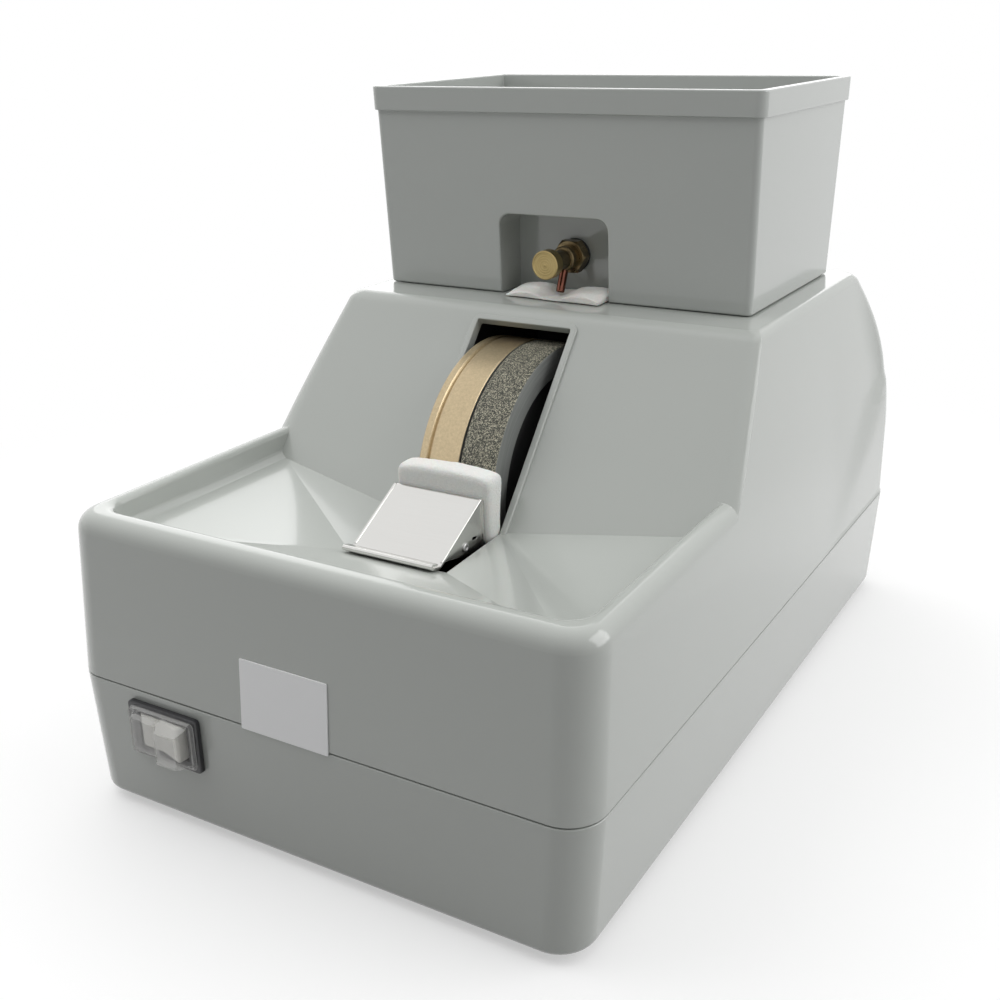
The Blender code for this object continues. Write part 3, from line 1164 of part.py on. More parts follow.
def splash_hood():
    """Cover over the back of the wheels, open to the slot."""
    run = HOOD_SLOPE_GAP / -SLOPE_NORMAL.y + WALL_RUN
    base = TUB_TOP + GAP
    nose = slope_y(HOOD_NOSE_HEIGHT) + run
    outline = [(nose, base), (TUB_BACK, base), (TUB_BACK, HOOD_TOP)]
    outline += [(slope_y(HOOD_TOP) + run, HOOD_TOP), (nose, HOOD_NOSE_HEIGHT)]
    hood = prism("splash_hood", outline, TUB_LEFT, TUB_RIGHT, TUB_PLASTIC)
    back, roof = TUB_BACK - TUB_WALL, HOOD_TOP - TUB_WALL
    front = nose - OVERRUN
    inside = [(front, base - OVERRUN), (back, base - OVERRUN), (back, roof), (front, roof)]
    cut(hood, prism("hood_hollow", inside, TUB_LEFT + TUB_WALL, TUB_RIGHT - TUB_WALL))
    centre = Vector((0, SPINDLE_Y, SPINDLE_Z))
    hole = rod_profile(SEAL_RADIUS + STACK_GAP, TUB_LEFT - OVERRUN, TUB_RIGHT + OVERRUN)
    cut(hood, turned("shaft_hole", hole, centre, "X"))
    x, y = (SLOT_LEFT + SLOT_RIGHT) / 2, (TANK_FRONT_Y + NICHE_BACK_Y) / 2
    drip = rod_profile(DRIP_HOLE_RADIUS, HOOD_TOP - TUB_WALL - OVERRUN, HOOD_TOP + OVERRUN)
    cut(hood, turned("drip_hole", drip, (x, y, 0), "Z", sides=SMALL_SIDES))
    bore = SPINDLE_RADIUS + GAP
    for name, wall, outward in (("shaft_seal_left", TUB_LEFT, -1), ("shaft_seal_right", TUB_RIGHT, 1)):
        near, far = wall + outward * STACK_GAP, wall + outward * SEAL_FLANGE_WIDTH
        inner = wall - outward * TUB_WALL
        profile = [(bore, far), (SEAL_FLANGE_RADIUS, far), (SEAL_FLANGE_RADIUS, near), (SEAL_RADIUS, near)]
        profile += [(SEAL_RADIUS, inner), (bore, inner)]
        if outward < 0:
            profile.reverse()
        turned(name, profile, centre, "X", RUBBER, SMALL_SIDES)
    return hood


def loose_electrics():
    stand = CHASSIS_TOP + GAP
    profile = rod_profile(CAPACITOR_RADIUS, 0, CAPACITOR_LENGTH, CAPACITOR_CHAMFER)
    turned("capacitor", profile, (CAPACITOR_X, CAPACITOR_Y, stand), "Z", BLACK_PLASTIC, SMALL_SIDES)
    low = (TERMINAL_X - TERMINAL_WIDTH / 2, TERMINAL_Y - TERMINAL_LENGTH / 2, stand)
    high = (TERMINAL_X + TERMINAL_WIDTH / 2, TERMINAL_Y + TERMINAL_LENGTH / 2, stand + TERMINAL_HEIGHT)
    box("terminal_block", low, high, WHITE_PLATE)


def sponge_bracket():
    """Folded sheet: front lip, inclined plate, back turned down, shelf for the sponge, and two side tabs."""
    base = MOUTH_FRONT_HEIGHT + SHEET / 2 + 2 * GAP
    shelf = BRACKET_SHELF_HEIGHT
    floor_front = front_y(RIM_HEIGHT) + FRONT_RAIL_WIDTH + BASIN_WALL_DRAFT + STRIP_WIDTH
    rise = (FLOOR_HEIGHT - MOUTH_FRONT_HEIGHT) / (MOUTH_FRONT_Y - floor_front)
    section = [
        (BRACKET_LIP_Y, base + (MOUTH_FRONT_Y - BRACKET_LIP_Y) * rise + GAP),
        (BRACKET_BASE_Y, base),
        (BRACKET_TOP_Y, BRACKET_TOP_HEIGHT),
        (BRACKET_TOP_Y, shelf),
        (BRACKET_SHELF_Y, shelf),
    ]
    shape = bmesh.new()
    left = [shape.verts.new((BRACKET_LEFT + SHEET / 2, y, z)) for y, z in section]
    folds = [shape.edges.new(pair) for pair in zip(left, left[1:])]
    grown = bmesh.ops.extrude_edge_only(shape, edges=folds)["geom"]
    moved = [item for item in grown if isinstance(item, bmesh.types.BMVert)]
    bmesh.ops.translate(shape, vec=(BRACKET_RIGHT - BRACKET_LEFT - SHEET, 0, 0), verts=moved)
    right = sorted(moved, key=lambda vert: (vert.co.y, -vert.co.z))
    for side in (left, right):
        bmesh.ops.contextual_create(shape, geom=side[1:4])
    bracket = place("sponge_bracket", finished_mesh("sponge_bracket", shape), STAINLESS)
    modifier = bracket.modifiers.new("sheet", "SOLIDIFY")
    modifier.thickness = SHEET
    modifier.offset = 0
    modifier.use_even_offset = True
    centre = Vector((0, BRACKET_SCREW_Y, BRACKET_SCREW_Z))
    hole = rod_profile(BRACKET_SCREW_RADIUS / 2 + STACK_GAP, BRACKET_LEFT - OVERRUN, BRACKET_RIGHT + OVERRUN)
    cut(bracket, turned("bracket_screw_hole", hole, centre, "X", sides=SMALL_SIDES))
    screws = (("bracket_screw_left", BRACKET_LEFT, -1), ("bracket_screw_right", BRACKET_RIGHT, 1))
    for name, edge, outward in screws:
        near, far = edge + outward * STACK_GAP, edge + outward * (STACK_GAP + BRACKET_SCREW_PROUD)
        tip = edge - outward * (SHEET + BRACKET_SCREW_RADIUS)
        small, large = BRACKET_SCREW_RADIUS / 2, BRACKET_SCREW_RADIUS
        profile = [(0, far), (large, far), (large, near), (small, near), (small, tip), (0, tip)]
        if outward < 0:
            profile.reverse()
        turned(name, profile, centre, "X", STAINLESS, SMALL_SIDES)
    return bracket


def soft_block(name, low, high, counts, shape_point, finish):
    """Foam block: a coarse cage whose points shape_point moves, rounded by subdivision."""
    low, high = Vector(low), Vector(high)
    size = high - low
    shape = bmesh.new()
    bmesh.ops.create_cube(shape, size=1)
    bmesh.ops.scale(shape, vec=size, verts=shape.verts)
    bmesh.ops.translate(shape, vec=(low + high) / 2, verts=shape.verts)
    for axis, count in enumerate(counts):
        normal = Vector((axis == 0, axis == 1, axis == 2))
        for step in range(1, count):
            spot = low + size * (step / count)
            everything = shape.verts[:] + shape.edges[:] + shape.faces[:]
            bmesh.ops.bisect_plane(shape, geom=everything, dist=MERGE, plane_co=spot, plane_no=normal)
    for vert in shape.verts:
        spot = vert.co - low
        share = Vector((spot.x / size.x, spot.y / size.y, spot.z / size.z))
        vert.co = shape_point(vert.co.copy(), share)
    obj = place(name, finished_mesh(name, shape), finish)
    modifier = obj.modifiers.new("soften", "SUBSURF")
    modifier.levels = 1
    modifier.render_levels = 1
    return obj


def sponge():
    """Foam strip between the bracket and the wheels, crowned on top and hollowed to the wheels' rim.

    Its back is upright below the spindle, so that it lifts out past the rim.
    """
    clear = SHEET / 2 + GAP
    low = (SLOT_LEFT + SPONGE_SIDE_INSET, BRACKET_TOP_Y + clear, BRACKET_SHELF_HEIGHT + clear)
    reach = SPINDLE_Y - WHEEL_RADIUS * math.cos(math.asin((SPONGE_TOP_HEIGHT - SPINDLE_Z) / WHEEL_RADIUS))
    high = (SLOT_RIGHT - SPONGE_SIDE_INSET, reach + GAP, SPONGE_TOP_HEIGHT)

    def crowned(spot, share):
        drop = SPONGE_CROWN * (2 * share.x - 1) ** 2 * share.z
        return Vector((spot.x, spot.y, spot.z - drop))

    foam = soft_block("sponge", low, high, (8, 3, 5), crowned, FOAM)
    centre = Vector((0, SPINDLE_Y, SPINDLE_Z))
    radius = (WHEEL_RADIUS + GAP) / math.cos(math.pi / FINE_SIDES)
    rim = rod_profile(radius, SLOT_LEFT - OVERRUN, SLOT_RIGHT + OVERRUN)
    cut(foam, turned("sponge_hollow", rim, centre, "X", sides=FINE_SIDES))
    low = (SLOT_LEFT - OVERRUN, SPINDLE_Y - radius - FLUSH_STEP, BRACKET_SHELF_HEIGHT - OVERRUN)
    cut(foam, box("sponge_heel", low, (SLOT_RIGHT + OVERRUN, SPINDLE_Y, SPINDLE_Z - GAP)))
    return foam


def tank_ring(height, inset, proud=0):
    share = (height - TANK_BASE) / (TANK_TOP - TANK_BASE)
    front = TANK_FRONT_Y - TANK_FRONT_FLARE * share + inset - proud
    back = TANK_BACK_Y + TANK_BACK_FLARE * share - inset + proud
    half = TANK_HALF_WIDTH + TANK_SIDE_FLARE * share - inset + proud
    radius = max(TANK_CORNER + proud - inset, GAP)
    return [point + Vector((TANK_X, 0, 0)) for point in plan_ring(half, front, back, radius, height)]


def niche_prism(name, spread, front, back, bottom):
    """Arched niche in the tank's front, open below."""
    left, right, top = NICHE_LEFT - spread, NICHE_RIGHT + spread, NICHE_TOP + spread
    radius = NICHE_CORNER + spread
    outline = [(left, bottom), (right, bottom)]
    for x, start in ((right - radius, 0), (left + radius, 90)):
        for step in range(CORNER_STEPS + 1):
            a = math.radians(start + 90 * step / CORNER_STEPS)
            outline.append((x + radius * math.cos(a), top - radius + radius * math.sin(a)))
    return prism(name, outline, -back, -front, axis="Y")


def water_tank():
    lip_base = TANK_TOP - LIP_HEIGHT
    rings = [tank_ring(TANK_BASE, 0), tank_ring(lip_base, 0)]
    rings += [tank_ring(lip_base, 0, LIP_PROUD), tank_ring(TANK_TOP, 0, LIP_PROUD)]
    tank = loft("water_tank", rings, TANK_PLASTIC)
    floor = TANK_BASE + TANK_WALL
    hollow = loft("tank_hollow", [tank_ring(floor, TANK_WALL), tank_ring(TANK_TOP + OVERRUN, TANK_WALL)])
    front = TANK_FRONT_Y - TANK_FRONT_FLARE - OVERRUN
    skin = niche_prism("niche_skin", TANK_WALL, front, NICHE_BACK_Y + TANK_WALL, TANK_BASE - OVERRUN)
    cut(hollow, skin)
    cut(tank, hollow)
    cut(tank, niche_prism("niche", 0, front, NICHE_BACK_Y, TANK_BASE - OVERRUN))
    bore = rod_profile(TAP_BORE_RADIUS, -TANK_WALL - OVERRUN, OVERRUN)
    cut(tank, turned("tap_hole", bore, (TAP_X, NICHE_BACK_Y, TAP_Z), "Y", sides=SMALL_SIDES))
    return tank


def drip_tap():
    """Brass tap on the niche's back wall. Along runs to the front from that wall."""
    centre = Vector((TAP_X, NICHE_BACK_Y, TAP_Z))
    bore = TAP_TAIL_RADIUS + STACK_GAP
    gasket = ring_profile(bore, TAP_GASKET_RADIUS, STACK_GAP, TAP_GASKET_WIDTH)
    turned("tap_gasket", gasket, centre, "Y", RUBBER, SMALL_SIDES)
    start = TAP_GASKET_WIDTH + STACK_GAP
    hexagon("tap_nut", TAP_NUT_FLATS, start, start + TAP_NUT_WIDTH, centre, "Y", BRASS, bore)
    base = start + TAP_NUT_WIDTH + STACK_GAP
    end = base + TAP_BARREL_LENGTH
    collar = end - TAP_COLLAR_WIDTH
    stem_bore = KNOB_STEM_RADIUS + STACK_GAP
    depth = end - KNOB_STEM_LENGTH / 2 - GAP
    profile = [(0, depth), (stem_bore, depth), (stem_bore, end), (TAP_COLLAR_RADIUS, end)]
    profile += [(TAP_COLLAR_RADIUS, collar), (TAP_BARREL_RADIUS, collar), (TAP_BARREL_RADIUS, base)]
    profile += [(TAP_TAIL_RADIUS, base), (TAP_TAIL_RADIUS, -TAP_TAIL_LENGTH), (0, -TAP_TAIL_LENGTH)]
    body = turned("tap_body", profile, centre, "Y", BRASS, SMALL_SIDES)
    inside = -TANK_WALL - STACK_GAP
    hexagon("tap_lock_nut", TAP_NUT_FLATS, inside - TAP_LOCK_WIDTH, inside, centre, "Y", BRASS, bore)
    stem_end = end + KNOB_STEM_LENGTH / 2
    face = stem_end + KNOB_WIDTH
    knob = [(0, face), (KNOB_RADIUS - KNOB_EDGE, face), (KNOB_RADIUS, face - KNOB_EDGE)]
    knob += [(KNOB_RADIUS, stem_end), (KNOB_STEM_RADIUS, stem_end)]
    knob += [(KNOB_STEM_RADIUS, depth + GAP), (0, depth + GAP)]
    turned("tap_knob", knob, centre, "Y", BRASS, SMALL_SIDES)
    root = centre + Vector((0, -(end - SPOUT_SETBACK), -TAP_BARREL_RADIUS + SPOUT_RADIUS))
    lean = Matrix.Rotation(-SPOUT_LEAN, 4, "X")
    spout = ring_profile(SPOUT_BORE, SPOUT_RADIUS, -SPOUT_DROP, 0)
    pipe = turned("tap_spout", spout, root, "Z", COPPER, SMALL_SIDES)
    pipe.matrix_world = Matrix.Translation(root) @ lean
    spout = rod_profile(SPOUT_RADIUS + STACK_GAP, -SPOUT_DROP, STACK_GAP)
    socket = turned("spout_socket", spout, root, "Z", sides=SMALL_SIDES)
    socket.matrix_world = Matrix.Translation(root) @ lean
    cut(body, socket)
    return body


def drip_pad():
    """Folded foam under the tap: two puffs with a pinch between them."""
    left, right = NICHE_LEFT + PAD_LEFT_GAP, NICHE_RIGHT - PAD_SIDE_GAP
    base = PLATFORM_HEIGHT + GAP
    low = (left, TANK_FRONT_Y - PAD_FORWARD, base)
    high = (right, NICHE_BACK_Y - PAD_SIDE_GAP, base + PAD_HEIGHT)

    def puffed(spot, share):
        pinch = max(0, 1 - abs(spot.x - TAP_X) / PAD_PINCH_REACH)
        edge = max(0, abs(2 * share.x - 1) - PAD_EDGE_SHARE) / (1 - PAD_EDGE_SHARE)
        behind = max(0, share.y - PAD_CREST_SHARE) / (1 - PAD_CREST_SHARE)
        drop = max(PAD_PINCH * pinch, PAD_EDGE_DROP * edge)
        drop += PAD_EDGE_DROP * (1 - share.y) + PAD_BACK_DROP * behind
        drop = min(drop, PAD_HEIGHT - PAD_LEAST_HEIGHT)
        lobe = PAD_LOBE * (1 - share.x) * (1 - share.y)
        return Vector((spot.x, spot.y + lobe, spot.z - drop * share.z))

    return soft_block("drip_pad", low, high, (12, 4, 2), puffed, FOAM)


def centre_on_bounds():
    """Moves everything back by half of what the switch boot stands out in front of the casing."""
    overhang = SWITCH_FRAME_PROUD + STACK_GAP + BOOT_HEIGHT
    for obj in list(PARTS.objects) + list(CUTTERS.objects):
        obj.location.y += overhang / 2


def build():
    lower_tray()
    upper_cover()
    feet_and_screws()
    switch_housing()
    switch_rocker()
    switch_boot()
    power_inlet()
    label_plate()
    chassis_plate()
    spindle_supports()
    spindle_stack()
    drive_belt()
    motor()
    motor_cradle()
    loose_electrics()
    wheel_tub()
    splash_hood()
    sponge_bracket()
    sponge()
    water_tank()
    drip_tap()
    drip_pad()
    centre_on_bounds()


build()
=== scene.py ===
"""Looks of a lens faceting machine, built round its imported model.

Lengths are metres. X runs across the machine, -Y is the front where the user sits, +Z is up.
Shapes are worked out about the middle of the casing, and FRAME_SHIFT puts them in the model's frame.
"""
import math

import bmesh
import bpy
from mathutils import Matrix, Vector, noise


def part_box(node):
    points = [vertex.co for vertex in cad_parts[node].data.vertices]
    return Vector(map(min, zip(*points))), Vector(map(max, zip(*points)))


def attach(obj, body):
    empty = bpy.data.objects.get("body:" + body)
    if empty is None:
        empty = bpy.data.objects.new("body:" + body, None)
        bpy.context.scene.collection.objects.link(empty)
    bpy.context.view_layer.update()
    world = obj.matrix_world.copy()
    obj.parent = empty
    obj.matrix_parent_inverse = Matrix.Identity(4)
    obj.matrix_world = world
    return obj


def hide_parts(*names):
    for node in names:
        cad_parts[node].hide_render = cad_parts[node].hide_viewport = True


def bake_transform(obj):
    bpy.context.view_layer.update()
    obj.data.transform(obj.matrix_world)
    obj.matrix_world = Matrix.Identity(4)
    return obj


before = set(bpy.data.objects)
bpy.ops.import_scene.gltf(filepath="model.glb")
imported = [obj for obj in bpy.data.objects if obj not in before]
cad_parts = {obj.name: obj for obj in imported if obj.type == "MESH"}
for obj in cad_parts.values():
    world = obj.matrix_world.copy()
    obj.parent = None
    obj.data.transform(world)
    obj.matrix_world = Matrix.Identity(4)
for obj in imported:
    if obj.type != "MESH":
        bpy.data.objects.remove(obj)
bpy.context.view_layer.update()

bl_info = {
    "name": "Lens faceting machine",
    "version": (1, 0, 0),
    "blender": (4, 5, 0),
    "location": "3D View > Sidebar > Lens edger",
    "description": "Builds the casing, wheels, foam, tap and finishes of a lens faceting machine",
    "category": "Object",
}

MM = 0.001
COVER_LOW, COVER_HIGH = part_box("upper_cover")
FRAME_SHIFT = Vector((0, (COVER_LOW.y + COVER_HIGH.y) / 2, 0))

# Facets of the curved forms
CORNER_STEPS = 12
ROUND_STEPS = 8
EDGE_STEPS = 6
WHEEL_SIDES = 192
PIPE_SIDES = 64
BORE_SIDES = 32
SHARP_ANGLE = math.radians(32)
CREASE_ANGLE = math.radians(1.5)
CREASE_AREA = 200 * MM * MM
MERGE = 0.01 * MM
WELD = 0.02 * MM
OVERRUN = 5 * MM
CORNER_LIMIT = 0.49
GAP = 0.3 * MM
STACK_GAP = 0.1 * MM

# Casing
HALF_WIDTH = 106.9 * MM
HALF_DEPTH = 164.8 * MM
FOOT_HEIGHT = 3.5 * MM
SEAM_HEIGHT = 52.2 * MM
RIM_HEIGHT = 113 * MM
PLATFORM_HEIGHT = 164 * MM
WALL = 3 * MM
CORNER_RADIUS = 13.3 * MM
TRAY_SIDE_DRAFT = 3.3 * MM
TRAY_BACK_DRAFT = 1.3 * MM
TRAY_EDGE_RADIUS = 3.2 * MM
SEAM_REVEAL = 0.4 * MM
TONGUE_THICKNESS = 1.7 * MM
TONGUE_HEIGHT = 4 * MM
RIM_FRONT_DRAFT = 4.9 * MM
BELT_LEAN = 0.6 * MM
PLATFORM_HALF_WIDTH = 94.2 * MM
SLOPE_FOOT_Y = -44.3 * MM
PLATFORM_FRONT_Y = 0.5 * MM
BACK_SWEEP = 32 * MM
BACK_SWEEP_START = 85 * MM
BACK_SWEEP_POWER = 2.5
RIM_ROUND = 6 * MM
PLATFORM_ROUND = 3.4 * MM
SLOPE_EDGE_LOW = 9.5 * MM
SLOPE_EDGE_HIGH = 4.5 * MM
SLOPE_EDGE_TURN = math.radians(50)
FLANK_BULGE = 2 * MM
FLANK_LOW_Y = 78 * MM
FLANK_LOW_HEIGHT = 66 * MM
FLANK_END_Y = 143 * MM
FLANK_END_HEIGHT = 113 * MM
FLANK_TOP_Y = 121 * MM
FLANK_FADE = 16 * MM
CREASE_DROP = 7.5 * MM
CREASE_FALL = 25 * MM
CREASE_CURVE = 63 * MM
CREASE_LOW = 1.5 * MM
SIDE_COUNT = 41
SIDE_REACH = 148 * MM
HUMP_REAR_START = 17.6 * MM
HUMP_LEAD_STEPS = 5
BELT_SHARES = (0.4, 0.7, 0.92, 1)
UPPER_SHARES = (0.06, 0.16, 0.3, 0.45, 0.6, 0.75, 0.88, 1)
HUMP_ROWS = 20
COVER_FLUSH = 0.005 * MM
CAVITY_FLUSH = 0.05 * MM

# Hopper basin and wheel slot
RAIL_WIDTH = 7.4 * MM
FRONT_RAIL_WIDTH = 10.9 * MM
BASIN_CORNER = 9 * MM
BASIN_LIP_WIDTH = 3.6 * MM
BASIN_LIP_DROP = 2.4 * MM
BASIN_WALL_DRAFT = 0.3 * MM
STRIP_WIDTH = 3.4 * MM
STRIP_HEIGHT = 2 * MM
FOOT_FILLET = 1.6 * MM
FLOOR_HEIGHT = 102.4 * MM
MOUTH_REAR_HEIGHT = 92.7 * MM
MOUTH_FRONT_HEIGHT = 91.5 * MM
MOUTH_FRONT_Y = -100 * MM
SLOT_LEFT = -25.4 * MM
SLOT_RIGHT = 17.9 * MM
SLOT_TOP_HEIGHT = 158.4 * MM
BEAD_LINING = 0.06 * MM
BEAD_CORNER = 0.9 * MM
BEAD_DROP = 1.2 * MM
BEAD_STEPS = 5

# Posts, feet and screws
FOOT_RADIUS = 9 * MM
FOOT_INSET = 24 * MM
POST_RADIUS = 5 * MM
POST_BITE = 2 * MM
SCREW_RADIUS = 1.5 * MM
SCREW_HEAD_RADIUS = 3 * MM
SCREW_SEAT_HEIGHT = 36 * MM
DRAIN_Y = -75 * MM
DRAIN_RADIUS = 7 * MM
DRAIN_BORE = 4.5 * MM
PLUG_HEIGHT = 12 * MM
WELL_FLARE = 0.8 * MM

# Mains switch, inlet and front plate
SWITCH_X = -60.8 * MM
SWITCH_Z = 37.7 * MM
SWITCH_WIDTH = 33 * MM
SWITCH_HEIGHT = 21.4 * MM
SWITCH_PROUD = 2.2 * MM
SWITCH_BODY = Vector((27, 22, 18.5)) * MM
ROCKER_WIDTH = 20.5 * MM
ROCKER_HEIGHT = 13.4 * MM
ROCKER_PIVOT_DEPTH = 3.5 * MM
ROCKER_TILT = math.radians(8)
ROCKER_CROWN = 3.6 * MM
ROCKER_KEEL = 2.6 * MM
FRAME_CORNER = 1.8 * MM
FRAME_ROUND = 0.55 * MM
BOOT_INSET = 1.2 * MM
BOOT_CORNER = 2 * MM
BOOT_COUNTS = (58, 40)
BOOT_FLANGE = 1.1 * MM
BOOT_SOLE = 0.1 * MM
BOOT_WALL = 0.55 * MM
INLET_X = 60 * MM
INLET_Z = 28 * MM
INLET_SIZE = Vector((27.2, 20, 19.8)) * MM
INLET_SOCKET = Vector((23.6, 14, 15.8)) * MM
INLET_FLANGE = 3 * MM
INLET_CLIP = 4 * MM
LABEL_LEFT = -24.2 * MM
LABEL_RIGHT = 12.8 * MM
LABEL_BOTTOM = 51.2 * MM
LABEL_TOP = 76.9 * MM
LABEL_THICKNESS = 0.4 * MM
LABEL_CORNER = 0.7 * MM

# Wheels
SPINDLE_Y = -5.6 * MM
SPINDLE_Z = 95.4 * MM
SPINDLE_RADIUS = 6.1 * MM
WHEEL_RADIUS = 56 * MM
WHEEL_RIGHT = 13.2 * MM
COARSE_WIDTH = 15.7 * MM
SPACER_WIDTH = 0.8 * MM
FINE_WIDTH = 18 * MM
SPACER_INSET = 1.2 * MM
# Inside DISH_RIM the roughing wheel's dish is painted near black, as painted shade from the slot.
DISH_RIM = 11 * MM
DISH_DEPTH = 2.5 * MM
DISH_HUB = 24 * MM
DISH_ROUND = 0.3 * MM
WHEEL_EDGE_ROUND = 0.9 * MM
WHEEL_EYE_ROUND = 0.4 * MM

# Bracket and foam
BRACKET_LEFT = -24.3 * MM
BRACKET_RIGHT = 15 * MM
BRACKET_LIP_Y = -104.4 * MM
BRACKET_BASE_Y = -99.3 * MM
BRACKET_TOP_Y = -69.6 * MM
BRACKET_TOP_HEIGHT = 108.6 * MM
BRACKET_SHELF_HEIGHT = 88 * MM
BRACKET_SHELF_Y = -64 * MM
BRACKET_SCREW_Y = -82 * MM
BRACKET_SCREW_Z = 93.6 * MM
HEM_RISE = 0.35 * MM
HEM_WIDTH = 1.1 * MM
CHEEK_INSET = 0.5 * MM
CHEEK_HOLE = 1.1 * MM
CHEEK_SLOT = (1.6 * MM, 0.5 * MM)
CHEEK_SLOT_TURN = math.radians(-8)
BRACKET_SIDES = (("left", BRACKET_LEFT, 1), ("right", BRACKET_RIGHT, -1))
SPONGE_TOP = 116.7 * MM
SPONGE_GAP = 0.4 * MM + GAP
SPONGE_SIDE_GAP = 0.5 * MM
SPONGE_LEAN = 0.4 * MM
PAD_HEIGHT = 4.8 * MM
PAD_FORWARD = 8 * MM
PAD_LOBE = 2.4 * MM
PAD_LEFT_GAP = 4.8 * MM
PAD_SIDE_GAP = 0.8 * MM
PAD_PINCH_REACH = 5.5 * MM
PAD_EDGE_DROP = 1.8 * MM
PAD_BACK_DROP = 2.6 * MM
PAD_FLAP_DROP = 1.5 * MM
PAD_LEAST_HEIGHT = 0.7 * MM

# Water tank and tap
TANK_TOP = 248.8 * MM
TANK_WALL = 2.5 * MM
TANK_FRONT_Y = 22.8 * MM
TANK_BACK_Y = 121.6 * MM
TANK_HALF_WIDTH = 85.4 * MM
TANK_SIDE_FLARE = 2 * MM
TANK_FRONT_FLARE = 2.6 * MM
TANK_BACK_FLARE = 6.5 * MM
TANK_CORNER = 2.8 * MM
TANK_X = -3.5 * MM
NICHE_LEFT = -30.4 * MM
NICHE_RIGHT = 20.4 * MM
NICHE_TOP = 197.9 * MM
NICHE_DEPTH = 16.6 * MM
NICHE_CORNER = 5 * MM
TAP_X = -3 * MM
TAP_Z = 179.8 * MM
TAP_BORE = 4 * MM
THREAD_RADIUS = 3.7 * MM
NUT_FLATS = 13.3 * MM
KNOB_RINGS = (1.4, 2.4, 3.4, 4.4)
SPOUT_RADIUS = 1.8 * MM
SPOUT_DROP = 11.3 * MM
SPOUT_LEAN = math.radians(24)
SPOUT_SETBACK = 9.9 * MM
DRIP_SLOT_WIDTH = 26 * MM
DRIP_SLOT_DEPTH = 9 * MM

# Places worked out from the sizes above
TRAY_FLOOR = FOOT_HEIGHT + WALL
DRAIN_X = (SLOT_LEFT + SLOT_RIGHT) / 2
BRACKET_SEAT = MOUTH_FRONT_HEIGHT + 0.4 * MM + 2 * GAP
SLOPE_RUN = (PLATFORM_FRONT_Y - SLOPE_FOOT_Y) / (PLATFORM_HEIGHT - RIM_HEIGHT)
SLOPE_NORMAL = Vector((0, -1, SLOPE_RUN)).normalized()
SLOPE_UP = Vector((0, SLOPE_RUN, 1)).normalized()
WALL_RUN = WALL / -SLOPE_NORMAL.y
SIDE_PLACES = tuple(SIDE_REACH * (2 * i / (SIDE_COUNT - 1) - 1) for i in range(SIDE_COUNT))
NICHE_BACK_Y = TANK_FRONT_Y + NICHE_DEPTH
TANK_BASE = PLATFORM_HEIGHT + GAP
SPINDLE = Vector((0, SPINDLE_Y, SPINDLE_Z))
TAP = Vector((TAP_X, NICHE_BACK_Y, TAP_Z))
SWITCH = Vector((SWITCH_X, -HALF_DEPTH, SWITCH_Z))

AXES = {
    "X": Matrix(((0, 0, 1), (1, 0, 0), (0, 1, 0))).to_4x4(),
    "Y": Matrix(((1, 0, 0), (0, 0, -1), (0, 1, 0))).to_4x4(),
    "Z": Matrix.Identity(4),
}


class CasingSettings(bpy.types.PropertyGroup):
    """Moulded casing and tank"""

    casing_color: bpy.props.FloatVectorProperty(
        name="Casing colour", description="Colour of the moulded cover and tray",
        subtype="COLOR", size=3, min=0, max=1, default=(0.43, 0.45, 0.425))
    tank_color: bpy.props.FloatVectorProperty(
        name="Tank colour", description="Colour of the moulded water tank",
        subtype="COLOR", size=3, min=0, max=1, default=(0.43, 0.45, 0.43))
    gloss: bpy.props.FloatProperty(
        name="Gloss", description="Weight of the glossy skin on the mouldings",
        subtype="FACTOR", min=0, max=1, default=0.5)
    seam_edge: bpy.props.FloatProperty(
        name="Seam edge", description="Rounding of the edges on both sides of the seam",
        unit="LENGTH", min=0.1 * MM, max=1 * MM, default=0.5 * MM)
    bead_width: bpy.props.FloatProperty(
        name="Bead width", description="Width of the raised bead round the wheel slot",
        unit="LENGTH", min=1.5 * MM, max=4 * MM, default=2.7 * MM)
    bead_height: bpy.props.FloatProperty(
        name="Bead height", description="Height of the bead above the slope",
        unit="LENGTH", min=0.6 * MM, max=2 * MM, default=1.2 * MM)
    lip_height: bpy.props.FloatProperty(
        name="Tank lip height", description="Height of the band round the tank's top",
        unit="LENGTH", min=5 * MM, max=15 * MM, default=9.9 * MM)
    lip_proud: bpy.props.FloatProperty(
        name="Tank lip stand-out", description="How far the band stands out from the tank's walls",
        unit="LENGTH", min=0.5 * MM, max=1.3 * MM, default=1.3 * MM)


class WheelSettings(bpy.types.PropertyGroup):
    """Grinding wheels"""

    fine_color: bpy.props.FloatVectorProperty(
        name="Finishing wheel colour", description="Colour of the bronze bond of the finishing wheel",
        subtype="COLOR", size=3, min=0, max=1, default=(0.62, 0.50, 0.32))
    coarse_color: bpy.props.FloatVectorProperty(
        name="Roughing wheel colour", description="Colour of the bond between the roughing wheel's grains",
        subtype="COLOR", size=3, min=0, max=1, default=(0.062, 0.064, 0.052))
    groove_width: bpy.props.FloatProperty(
        name="Groove width", description="Width of the V groove in the finishing wheel",
        unit="LENGTH", min=1 * MM, max=4 * MM, default=2 * MM)
    groove_depth: bpy.props.FloatProperty(
        name="Groove depth", description="Depth of the V groove in the finishing wheel",
        unit="LENGTH", min=0.5 * MM, max=3 * MM, default=1.5 * MM)
    groove_setback: bpy.props.FloatProperty(
        name="Groove setback", description="Distance of the groove from the wheel's left side",
        unit="LENGTH", min=1 * MM, max=8 * MM, default=3.2 * MM)


